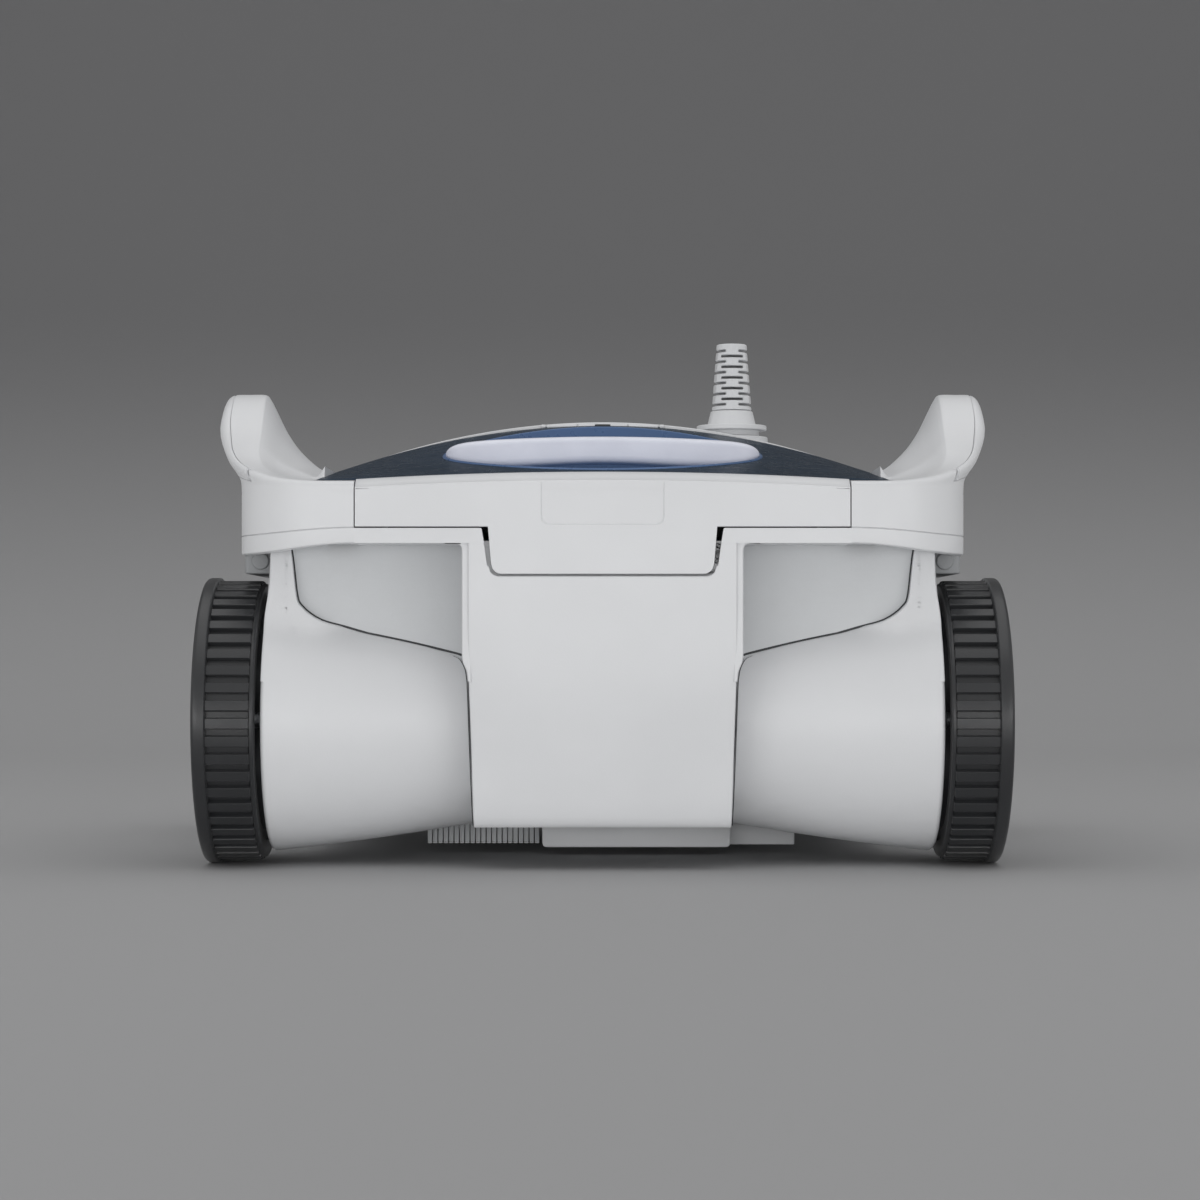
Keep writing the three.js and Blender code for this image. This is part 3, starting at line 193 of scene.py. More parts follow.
def smooth_step(value: Array) -> Array:
    """Eases a share from 0 to 1: 3 t squared minus 2 t cubed, clamped at both ends.

    Args:
        value: Shares, also outside 0 to 1.

    Returns:
        The eased shares.
    """
    t = np.clip(value, 0.0, 1.0)
    return t * t * (3.0 - 2.0 * t)


def rounded(points: Sequence[Pair], radii: Sequence[float], steps: int = 6) -> Array:
    """Rounds the corners of a closed polygon with quadratic arcs.

    Each corner P between A and B becomes (1-t)^2 A' + 2t(1-t) P + t^2 B', where A' and B'
    lie on its two sides at the radius from P, or at half of the side where that is shorter.

    Args:
        points: Corners in order.
        radii: One radius per corner; 0 keeps it sharp.
        steps: Segments per rounded corner.

    Returns:
        Array of two columns.
    """
    corners = np.asarray(points, float)
    count = len(corners)
    rows: List[Array] = []
    t = np.linspace(0.0, 1.0, steps + 1)[:, None]
    for k in range(count):
        here = corners[k]
        if radii[k] <= 0:
            rows.append(here[None, :])
            continue
        before, after = corners[k - 1] - here, corners[(k + 1) % count] - here
        reach_a = min(radii[k], 0.5 * float(np.linalg.norm(before)))
        reach_b = min(radii[k], 0.5 * float(np.linalg.norm(after)))
        a = here + before / np.linalg.norm(before) * reach_a
        b = here + after / np.linalg.norm(after) * reach_b
        rows.append((1 - t) ** 2 * a + 2 * t * (1 - t) * here + t ** 2 * b)
    return np.concatenate(rows)


def flow_rows(points: Array, per_span: int) -> Array:
    """Carries smooth Catmull-Rom curves through many rows of points at once.

    Between P1 and P2 a curve is half of (2 P1 + (P2-P0) t + (2P0-5P1+4P2-P3) t^2 +
    (3P1-P0-3P2+P3) t^3), with each end continued straight.

    Args:
        points: Array of rows, points on a row and coordinates.
        per_span: Steps between two points.

    Returns:
        Array of rows, points along each curve and coordinates.
    """
    first, last = points[:, :1], points[:, -1:]
    padded = np.concatenate([2 * first - points[:, 1:2], points, 2 * last - points[:, -2:-1]], axis=1)
    p0, p1, p2, p3 = (padded[:, k:padded.shape[1] - 3 + k, None, :] for k in range(4))
    t = np.linspace(0.0, 1.0, per_span, endpoint=False)[None, None, :, None]
    body = 0.5 * (2 * p1 + (p2 - p0) * t + (2 * p0 - 5 * p1 + 4 * p2 - p3) * t ** 2
                  + (3 * p1 - p0 - 3 * p2 + p3) * t ** 3)
    return np.concatenate([body.reshape(points.shape[0], -1, points.shape[2]), last], axis=1)


def flowing(points: Sequence[Pair], per_span: int = 6) -> Array:
    """Smooth curve through one row of points, as flow_rows makes it."""
    return flow_rows(np.asarray(points, float)[None], per_span)[0]


# --- Surfaces ---


@dataclass
class Surface:
    """Vertices and faces of a shape while it is worked out."""

    points: Array
    faces: List[Tuple[int, ...]]

    @classmethod
    def grid(cls, points: Array, wrap_rows: bool = False, wrap_columns: bool = False) -> "Surface":
        """Joins a grid of points with quads.

        Args:
            points: Array of rows, columns and three coordinates.
            wrap_rows: Whether the last row joins the first.
            wrap_columns: Whether the last column joins the first.

        Returns:
            The surface.
        """
        rows, columns = points.shape[:2]
        r = np.arange(rows if wrap_rows else rows - 1)[:, None]
        c = np.arange(columns if wrap_columns else columns - 1)[None, :]
        r2, c2 = (r + 1) % rows, (c + 1) % columns
        quads = np.stack([r * columns + c, r * columns + c2, r2 * columns + c2,
                          r2 * columns + c], axis=-1).reshape(-1, 4)
        return cls(points.reshape(-1, 3), [tuple(q) for q in quads.tolist()])

    @classmethod
    def loft(cls, rings: Array) -> "Surface":
        """Closed tube through closed rings, with a face over each end.

        Args:
            rings: Array of rings, points on a ring and three coordinates.

        Returns:
            The surface.
        """
        tube = cls.grid(rings, wrap_columns=True)
        columns = rings.shape[1]
        last = (rings.shape[0] - 1) * columns
        tube.faces.append(tuple(range(columns))[::-1])
        tube.faces.append(tuple(range(last, last + columns)))
        return tube

    @classmethod
    def turned(cls, profile: Array, axis: str, centre: Sequence[float], segments: int = 96) -> "Surface":
        """Turns a closed profile about an axis.

        A profile point (distance d along the axis, radius r) becomes the circle of points at
        d with the two other coordinates r cos a and r sin a.

        Args:
            profile: Closed outline of (along, radius) rows.
            axis: "x" or "z".
            centre: Point on the axis; the distances count from it.
            segments: Steps round the axis.

        Returns:
            The surface.
        """
        angle = np.arange(segments) * (2 * math.pi / segments)
        d, r = profile[:, 0][:, None], profile[:, 1][:, None]
        one, two = r * np.cos(angle), r * np.sin(angle)
        level = np.broadcast_to(d, one.shape)
        order = (level, one, two) if axis == "x" else (one, two, level)
        points = np.stack(order, axis=-1) + np.asarray(centre, float)
        return cls.grid(points, wrap_rows=True, wrap_columns=True)

    @classmethod
    def prism(cls, outline: Array, axis: str, span: Pair, edge: float = 0.0) -> "Surface":
        """Prism over a closed outline, with its two rims rounded by insets of the outline.

        Each ring is the outline moved inward along its normals by edge (1 - sin a) while it
        moves along the axis by edge (1 - cos a).

        Args:
            outline: Rows of two coordinates, in the cyclic order of the other two axes.
            axis: "x", "y" or "z".
            span: Lowest and highest place along the axis.
            edge: Radius of the rims.

        Returns:
            The surface.
        """
        turn = np.linspace(0.0, math.pi / 2, 4)
        inset = edge * (1 - np.sin(turn)) if edge > 0 else np.zeros(1)
        rise = edge * (1 - np.cos(turn)) if edge > 0 else np.zeros(1)
        normal = outward(outline)
        flat = outline[None, :, :] - inset[:, None, None] * normal[None, :, :]
        low = np.broadcast_to((span[0] + rise)[:, None, None], flat.shape[:2] + (1,))
        high = np.broadcast_to((span[1] - rise)[::-1, None, None], flat.shape[:2] + (1,))
        rings = np.concatenate([np.concatenate([flat, low], axis=2),
                                np.concatenate([flat[::-1], high], axis=2)])
        order = {"x": (2, 0, 1), "y": (1, 2, 0), "z": (0, 1, 2)}[axis]
        return cls.loft(rings[:, :, list(order)])

    @classmethod
    def block(cls, low: Sequence[float], high: Sequence[float], edge: float = 0.6,
              corner: float = 1.2) -> "Surface":
        """Box with rounded upright corners and rims.

        Args:
            low: Lowest corner.
            high: Highest corner.
            edge: Radius of the rims.
            corner: Radius of the upright corners.

        Returns:
            The surface.
        """
        (x0, y0, z0), (x1, y1, z1) = low, high
        plan = rounded([(x0, y0), (x1, y0), (x1, y1), (x0, y1)], [corner] * 4, 4)
        return cls.prism(plan, "z", (z0, z1), edge)

    @classmethod
    def joined(cls, parts: Sequence["Surface"]) -> "Surface":
        """All the parts as one set of vertices and faces.

        Args:
            parts: The parts.

        Returns:
            One surface.
        """
        points: List[Array] = []
        faces: List[Tuple[int, ...]] = []
        start = 0
        for part in parts:
            points.append(part.points)
            faces.extend(tuple(i + start for i in f) for f in part.faces)
            start += len(part.points)
        return cls(np.concatenate(points), faces)

    def moved(self, offset: Sequence[float]) -> "Surface":
        """The surface moved by an offset."""
        return Surface(self.points + np.asarray(offset, float), list(self.faces))

    def mirrored(self, x: int = 1, y: int = 1) -> "Surface":
        """The surface with X and Y times the given signs, its faces kept outward."""
        faces = [f[::-1] for f in self.faces] if x * y < 0 else list(self.faces)
        return Surface(self.points * np.array([x, y, 1.0]), faces)

    def paired(self) -> "Surface":
        """The surface and its mirror image on the other side."""
        return Surface.joined([self, self.mirrored(x=-1)])


def outward(outline: Array) -> Array:
    """Unit normals of a closed outline: its tangent turned by 90 degrees, away from it.

    Args:
        outline: Rows of two coordinates, either way round.

    Returns:
        One unit vector per row.
    """
    tangent = np.roll(outline, -1, axis=0) - np.roll(outline, 1, axis=0)
    normal = np.stack([tangent[:, 1], -tangent[:, 0]], axis=1)
    x, y = outline[:, 0], outline[:, 1]
    area = 0.5 * float(np.sum(x * np.roll(y, -1) - y * np.roll(x, -1)))
    length = np.maximum(np.linalg.norm(normal, axis=1, keepdims=True), 1e-12)
    return normal / length * (1.0 if area > 0 else -1.0)


def edge_fall(distance: Array, radius: float) -> Array:
    """Drop of a rounded edge: r - sqrt(r^2 - (r - d)^2) within r of the border, else 0."""
    inside = np.clip(radius - distance, 0, radius)
    return radius - np.sqrt(radius ** 2 - inside ** 2)


def ribbon(rows: Sequence[Array], depths: Sequence[Array]) -> Surface:
    """Thin solid strip from its long edges.

    A place (x, z) on an edge at depth d is the point (x, -d, z).

    Args:
        rows: The edges in order round the strip, each with its (x, z) places.
        depths: One depth for each edge, or one for each of its places.

    Returns:
        The surface.
    """
    edges = [np.stack([row[:, 0], -np.broadcast_to(depth, len(row)), row[:, 1]], axis=1)
             for row, depth in zip(rows, depths)]
    return Surface.loft(np.stack(edges, axis=1))


def near_edges(low: float, high: float, radius: float, count: int) -> Array:
    """Places between two limits, close together beside both of them.

    Args:
        low: First limit.
        high: Last limit.
        radius: How far the close places reach from a limit.
        count: Evenly spread places from one radius to the other.

    Returns:
        The places in order.
    """
    near = radius * np.array([0.0, 0.08, 0.3, 0.65, 1.0])
    middle = np.linspace(low + radius, high - radius, count)[1:-1]
    return np.concatenate([low + near, middle, high - near[::-1]])


# --- Finishes ---


def linear(code: int) -> Colour:
    """Linear colour of a hexadecimal screen colour: ((c + 0.055) / 1.055) to the 2.4."""
    channels = [((code >> shift) & 255) / 255 for shift in (16, 8, 0)]
    return tuple(c / 12.92 if c <= 0.04045 else ((c + 0.055) / 1.055) ** 2.4 for c in channels)


@dataclass
class NodeDesk:
    """A material's node tree with short ways to add and join nodes."""

    material: Material

    @classmethod
    def open(cls, name: str) -> "NodeDesk":
        """New material that holds only a Principled shader and its output.

        Args:
            name: The material's name.

        Returns:
            The desk of its nodes.
        """
        material = bpy.data.materials.new(name)
        material.use_nodes = True
        return cls(material)

    @property
    def shader(self) -> bpy.types.Node:
        """The Principled shader."""
        return self.material.node_tree.nodes["Principled BSDF"]

    def add(self, kind: str, **settings: object) -> bpy.types.Node:
        """Adds a node.

        Args:
            kind: Node type.
            settings: Attributes of the node, and with a leading "in_" the values of inputs.

        Returns:
            The node.
        """
        node = self.material.node_tree.nodes.new(kind)
        for key, value in settings.items():
            if key.startswith("in_"):
                node.inputs[key[3:].replace("_", " ")].default_value = value
            else:
                setattr(node, key, value)
        return node

    def join(self, source: Socket, target: Socket) -> None:
        """Links two sockets."""
        self.material.node_tree.links.new(source, target)

    def place(self, stretch: Sequence[float] = (1, 1, 1)) -> Socket:
        """Object coordinates, stretched along the axes.

        Args:
            stretch: Factors along the three axes.

        Returns:
            Socket with the coordinates.
        """
        where = self.add("ShaderNodeTexCoord")
        mapping = self.add("ShaderNodeMapping")
        mapping.inputs["Scale"].default_value = stretch
        self.join(where.outputs["Object"], mapping.inputs["Vector"])
        return mapping.outputs["Vector"]

    def noise(self, scale: float, detail: float = 3.0, stretch: Sequence[float] = (1, 1, 1)) -> Socket:
        """Noise with values around one half.

        Args:
            scale: Cells a metre.
            detail: Layers of finer noise.
            stretch: Factors along the three axes.

        Returns:
            Socket with the noise.
        """
        node = self.add("ShaderNodeTexNoise", in_Scale=scale, in_Detail=detail)
        self.join(self.place(stretch), node.inputs["Vector"])
        return node.outputs["Fac"]

    def spread(self, value: Socket, low: float, high: float) -> Socket:
        """Carries noise between 0.3 and 0.7 onto a range.

        Args:
            value: The noise.
            low: Result at 0.3.
            high: Result at 0.7.

        Returns:
            Socket with the result.
        """
        node = self.add("ShaderNodeMapRange", in_From_Min=0.3, in_From_Max=0.7, in_To_Min=low,
                        in_To_Max=high)
        self.join(value, node.inputs["Value"])
        return node.outputs["Result"]

    def combine(self, operation: str, one: Socket, two: Socket, clamp: bool = False) -> Socket:
        """Result of a mathematical operation on two values.

        Args:
            operation: Name of the operation.
            one: First value.
            two: Second value.
            clamp: Whether the result stays in 0 to 1.

        Returns:
            Socket with the result.
        """
        node = self.add("ShaderNodeMath", operation=operation, use_clamp=clamp)
        self.join(one, node.inputs[0])
        self.join(two, node.inputs[1])
        return node.outputs["Value"]

    def blend(self, factor: Socket, one: Colour, two: Colour) -> Socket:
        """Mix of two colours by a factor.

        Args:
            factor: Share of the second colour.
            one: First colour.
            two: Second colour.

        Returns:
            Socket with the colour.
        """
        node = self.add("ShaderNodeMix", data_type="RGBA")
        colour_inputs = [s for s in node.inputs if s.type == "RGBA"]
        colour_inputs[0].default_value = (*one, 1.0)
        colour_inputs[1].default_value = (*two, 1.0)
        self.join(factor, node.inputs["Factor"])
        return [s for s in node.outputs if s.type == "RGBA"][0]

    def bump(self, height: Socket, depth: float, strength: float = 1.0,
             under: Optional[Socket] = None) -> Socket:
        """Bump of a depth in metres, optionally over another normal.

        Args:
            height: Height, from 0 to 1.
            depth: Depth at 1, in metres.
            strength: Share of the effect.
            under: Normal that it adds to.

        Returns:
            Socket with the normal.
        """
        node = self.add("ShaderNodeBump", in_Distance=depth, in_Strength=strength)
        self.join(height, node.inputs["Height"])
        if under is not None:
            self.join(under, node.inputs["Normal"])
        return node.outputs["Normal"]


@dataclass(frozen=True)
class Moulded:
    """Moulded plastic or rubber: a colour that drifts a little, a fine grain, uneven gloss."""

    name: str
    colour: int
    shade: int  # the colour that it drifts to
    roughness: Pair = (0.35, 0.45)
    grain: float = 900.0  # cells a metre
    grain_depth: float = 0.00004
    sheen: float = 0.0

    def make(self) -> Material:
        """Builds the material.

        Returns:
            The material.
        """
        desk = NodeDesk.open(self.name)
        drift = desk.spread(desk.noise(14.0, 4.0), 0.0, 1.0)
        desk.join(desk.blend(drift, linear(self.colour), linear(self.shade)),
                  desk.shader.inputs["Base Color"])
        desk.join(desk.spread(desk.noise(60.0, 5.0), *self.roughness), desk.shader.inputs["Roughness"])
        fine = desk.bump(desk.noise(self.grain, 2.0), self.grain_depth)
        wavy = desk.bump(desk.noise(22.0, 1.0), self.grain_depth * 1.5, 0.5, fine)
        desk.join(wavy, desk.shader.inputs["Normal"])
        desk.shader.inputs["Sheen Weight"].default_value = self.sheen
        return desk.material


@dataclass(frozen=True)
class TintedWindow:
    """Dark slate-blue plastic: a satin face over a deep tint that drifts a little."""

    name: str = "tinted_window"
    deep: int = 0x28333F
    pale: int = 0x303C4A
    roughness: Pair = (0.24, 0.34)
    gloss: float = 0.012  # specular level of the plastic
    transmission: float = 0.06

    def make(self) -> Material:
        """Builds the material.

        Returns:
            The material.
        """
        desk = NodeDesk.open(self.name)
        cloud = desk.spread(desk.noise(9.0, 2.0), 0.0, 1.0)
        desk.join(desk.blend(cloud, linear(self.deep), linear(self.pale)),
                  desk.shader.inputs["Base Color"])
        desk.join(desk.spread(desk.noise(120.0, 3.0), *self.roughness), desk.shader.inputs["Roughness"])
        desk.join(desk.bump(desk.noise(16.0, 1.0), 0.00008, 0.6), desk.shader.inputs["Normal"])
        desk.shader.inputs["Transmission Weight"].default_value = self.transmission
        desk.shader.inputs["Specular IOR Level"].default_value = self.gloss
        return desk.material


@dataclass(frozen=True)
class DrawnMetal:
    """Metal with fine lines left by turning or drawing, running across one axis."""

    name: str
    colour: int
    roughness: Pair = (0.22, 0.38)
    lines: Tuple[float, float, float] = (1.0, 0.06, 0.06)

    def make(self) -> Material:
        """Builds the material.

        Returns:
            The material.
        """
        desk = NodeDesk.open(self.name)
        streaks = desk.noise(700.0, 2.0, self.lines)
        base = linear(self.colour)
        darker = tuple(c * 0.8 for c in base)
        desk.join(desk.blend(desk.spread(streaks, 0.0, 1.0), base, darker),
                  desk.shader.inputs["Base Color"])
        desk.join(desk.spread(streaks, *self.roughness), desk.shader.inputs["Roughness"])
        desk.join(desk.bump(streaks, 0.00002), desk.shader.inputs["Normal"])
        desk.shader.inputs["Metallic"].default_value = 1.0
        return desk.material


@dataclass(frozen=True)
class CircuitBoard:
    """Green lacquered board with plain copper traces in blocks."""

    name: str = "circuit_board"
    lacquer: int = 0x1B5233
    trace: int = 0x4F8A52

    def make(self) -> Material:
        """Builds the material.

        Returns:
            The material.
        """
        desk = NodeDesk.open(self.name)
        bricks = desk.add("ShaderNodeTexBrick", in_Scale=60.0, in_Mortar_Size=0.03)
        desk.join(desk.place(), bricks.inputs["Vector"])
        desk.join(desk.blend(bricks.outputs["Fac"], linear(self.lacquer), linear(self.trace)),
                  desk.shader.inputs["Base Color"])
        desk.join(desk.bump(bricks.outputs["Fac"], 0.00004), desk.shader.inputs["Normal"])
        desk.join(desk.spread(desk.noise(80.0), 0.2, 0.35), desk.shader.inputs["Roughness"])
        return desk.material


@dataclass(frozen=True)
class WovenMesh:
    """Filter cloth: two sets of threads that cross, with darker pores between them."""

    name: str = "filter_mesh"
    pitch: float = 0.0011  # metres
    pore: int = 0x16304F
    thread: int = 0x4D7DB3

    def make(self) -> Material:
        """Builds the material.

        Returns:
            The material.
        """
        desk = NodeDesk.open(self.name)
        waves = []
        for direction in ("X", "Z"):
            wave = desk.add("ShaderNodeTexWave", bands_direction=direction,
                            in_Scale=0.314 / self.pitch, in_Distortion=0.1)
            desk.join(desk.place(), wave.inputs["Vector"])
            waves.append(wave.outputs["Fac"])
        weave = desk.combine("MAXIMUM", *waves)
        desk.join(desk.blend(weave, linear(self.pore), linear(self.thread)),
                  desk.shader.inputs["Base Color"])
        desk.join(desk.bump(weave, 0.0003), desk.shader.inputs["Normal"])
        desk.shader.inputs["Roughness"].default_value = 0.7
        return desk.material


Recipe = Union[Moulded, TintedWindow, DrawnMetal, CircuitBoard, WovenMesh]


@dataclass(frozen=True)
class Finish:
    """A material with the record's slot that it fills."""

    material: Material
    slot: str

    @classmethod
    def of(cls, recipe: Recipe, slot: str = "") -> "Finish":
        """The recipe's material, for a slot of the same name unless another is given."""
        return cls(recipe.make(), slot or recipe.name)


@dataclass
class Finishes:
    """Every finish of the cleaner, made once and shared."""

    shell: Finish
    handle: Finish
    window: Finish
    tyre: Finish
    wheel: Finish
    dark: Finish
    nylon: Finish
    steel: Finish
    can: Finish
    seal: Finish
    board: Finish
    cloth: Finish
    dish: Finish
    recess: Finish
    rail: Finish

    @classmethod
    def make(cls) -> "Finishes":
        """Builds every material of the cleaner.

        Returns:
            The finishes.
        """
        fill = Finish.of
        return cls(
            shell=fill(Moulded("white_shell", 0xD0D1D3, 0xCCCDCF, (0.36, 0.46), 1100.0, 0.00003)),
            handle=fill(Moulded("handle", 0xE2E4EE, 0xC1C3CF, (0.34, 0.44), 900.0, 0.00003)),
            window=fill(TintedWindow(), "window"),
            tyre=fill(Moulded("tyre", 0x2A2B2D, 0x242527, (0.28, 0.38), 1400.0, 0.00006, 0.05)),
            wheel=fill(Moulded("wheel_grey", 0x646568, 0x5D5E61, (0.38, 0.5), 1000.0, 0.00004)),
            dark=fill(Moulded("dark_plastic", 0x2B2D30, 0x25272A, (0.45, 0.6), 900.0, 0.00005)),
            nylon=fill(Moulded("nylon", 0xDAD7CC, 0xD2CEC0, (0.38, 0.5), 700.0, 0.00004)),
            steel=fill(DrawnMetal("steel", 0xC0C3C7)),
            can=fill(DrawnMetal("motor_can", 0xA3A6AA, (0.28, 0.45))),
            seal=fill(Moulded("seal", 0x1D1E1F, 0x161718, (0.65, 0.8), 1200.0, 0.00008)),
            board=fill(CircuitBoard(), "board"),
            cloth=fill(WovenMesh()),
            # dish: the window's own plastic painted a paler blue, as painted light where the dish walls face the
            # camera
            dish=fill(TintedWindow("tinted_dish", 0x4A6385, 0x56709A, (0.25, 0.35), 0.2, 0.12),
                      "window"),
            # recess: the white shell's plastic painted darker, as painted shade for the tub, the recess walls and the
            # comb
            recess=fill(Moulded("recess_shell", 0xC6C8CA, 0xC0C2C4, (0.5, 0.62), 620.0, 0.00012),
                        "white_shell"),
            # rail: the white shell's plastic painted mid-grey, as painted shade under the frame above the wheels
            rail=fill(Moulded("rail_shell", 0x939597, 0x8D8F91, (0.5, 0.62), 620.0, 0.00012),
                      "white_shell"),
        )


# --- Pieces ---


@dataclass(frozen=True)
class Rounding:
    """Width in millimetres, steps and angle of a bevel modifier."""

    width: float
    steps: int = 2
    angle: float = 38.0

    def put_on(self, piece: bpy.types.Object) -> None:
        """Adds the bevel to a piece.

        Args:
            piece: The piece.
        """
        bevel = piece.modifiers.new("rounding", "BEVEL")
        bevel.width, bevel.segments = self.width * MM, self.steps
        bevel.limit_method = "ANGLE"
        bevel.angle_limit = math.radians(self.angle)
        bevel.use_clamp_overlap = True
        bevel.harden_normals = True


def clean_mesh(mesh: bpy.types.Mesh, flat: float, sharp: float, turn_out: bool) -> None:
    """Merges doubled points, melts faces that lie in one plane and sets the shading.

    Args:
        mesh: Mesh to change in place.
        flat: Angle in degrees below which neighbouring faces melt into one; 0 keeps them.
        sharp: Angle in degrees above which an edge is shaded sharp.
        turn_out: Whether to work out which way is outward.
    """
    work = bmesh.new()
    work.from_mesh(mesh)
    bmesh.ops.remove_doubles(work, verts=work.verts, dist=0.002 * MM)
    bmesh.ops.dissolve_degenerate(work, edges=work.edges, dist=0.002 * MM)
    if flat > 0:
        bmesh.ops.dissolve_limit(work, angle_limit=math.radians(flat), verts=work.verts, edges=work.edges)
    if turn_out:
        bmesh.ops.recalc_face_normals(work, faces=work.faces)
    work.to_mesh(mesh)
    work.free()
    mesh.shade_smooth()
    mesh.set_sharp_from_angle(angle=math.radians(sharp))


def settle(name: str, mesh: bpy.types.Mesh, finish: Finish, body: str, nodes: Sequence[str],
           rounding: Optional[Rounding] = None) -> bpy.types.Object:
    """Turns a finished mesh into a dressed piece that rides on its body.

    Args:
        name: The piece's name.
        mesh: Its mesh, in place.
        finish: Its finish.
        body: The body that it rides on.
        nodes: CAD nodes that it stands for.
        rounding: Bevel, if it has one.

    Returns:
        The piece.
    """
    piece = bpy.data.objects.new(name, mesh)
    bpy.context.scene.collection.objects.link(piece)
    material, slot = finish.material, finish.slot
    mesh.materials.clear()
    mesh.materials.append(material)
    if rounding is not None:
        rounding.put_on(piece)
    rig.ride(piece, body)
    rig.slot(piece, slot)
    if nodes:
        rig.replaces(piece, *nodes)
    LOG.info("piece %s on %s, %d vertices", name, body, len(mesh.vertices))
    return piece


def make_piece(name: str, surface: Surface, finish: Finish, body: str,
               nodes: Sequence[str] = (), sharp: float = SHARP_ANGLE) -> bpy.types.Object:
    """Makes a piece from a surface.

    Args:
        name: The piece's name.
        surface: Its vertices and faces, in place.
        finish: Its finish.
        body: The body that it rides on.
        nodes: CAD nodes that it stands for.
        sharp: Angle in degrees above which edges are shaded sharp.

    Returns:
        The piece.
    """
    mesh = bpy.data.meshes.new(name)
    mesh.from_pydata((surface.points * MM).tolist(), [], surface.faces)
    clean_mesh(mesh, 0.0, sharp, True)
    return settle(name, mesh, finish, body, nodes)


def refined(node: str, finish: Finish, width: float = 0.6) -> bpy.types.Object:
    """Piece with a CAD node's own form, its points merged and its edges rounded.

    Args:
        node: The CAD node that it stands for.
        finish: Its finish.
        width: Bevel width in millimetres.

    Returns:
        The piece.
    """
    source = frame["nodes"][node]
    mesh = source.data.copy()
    mesh.name = f"{node}_refined"
    clean_mesh(mesh, FLAT_ANGLE, SHARP_ANGLE, False)
    return settle(f"{node}_refined", mesh, finish, source["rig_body"], [node], Rounding(width))


# --- Wheels ---


@dataclass
class CornerPart:
    """What stands at one corner of the cleaner."""

    side: Side
    end: End

    @property
    def tag(self) -> str:
        """End and side, as the node names have them."""
        return f"{self.end.word}_{self.side.word}"


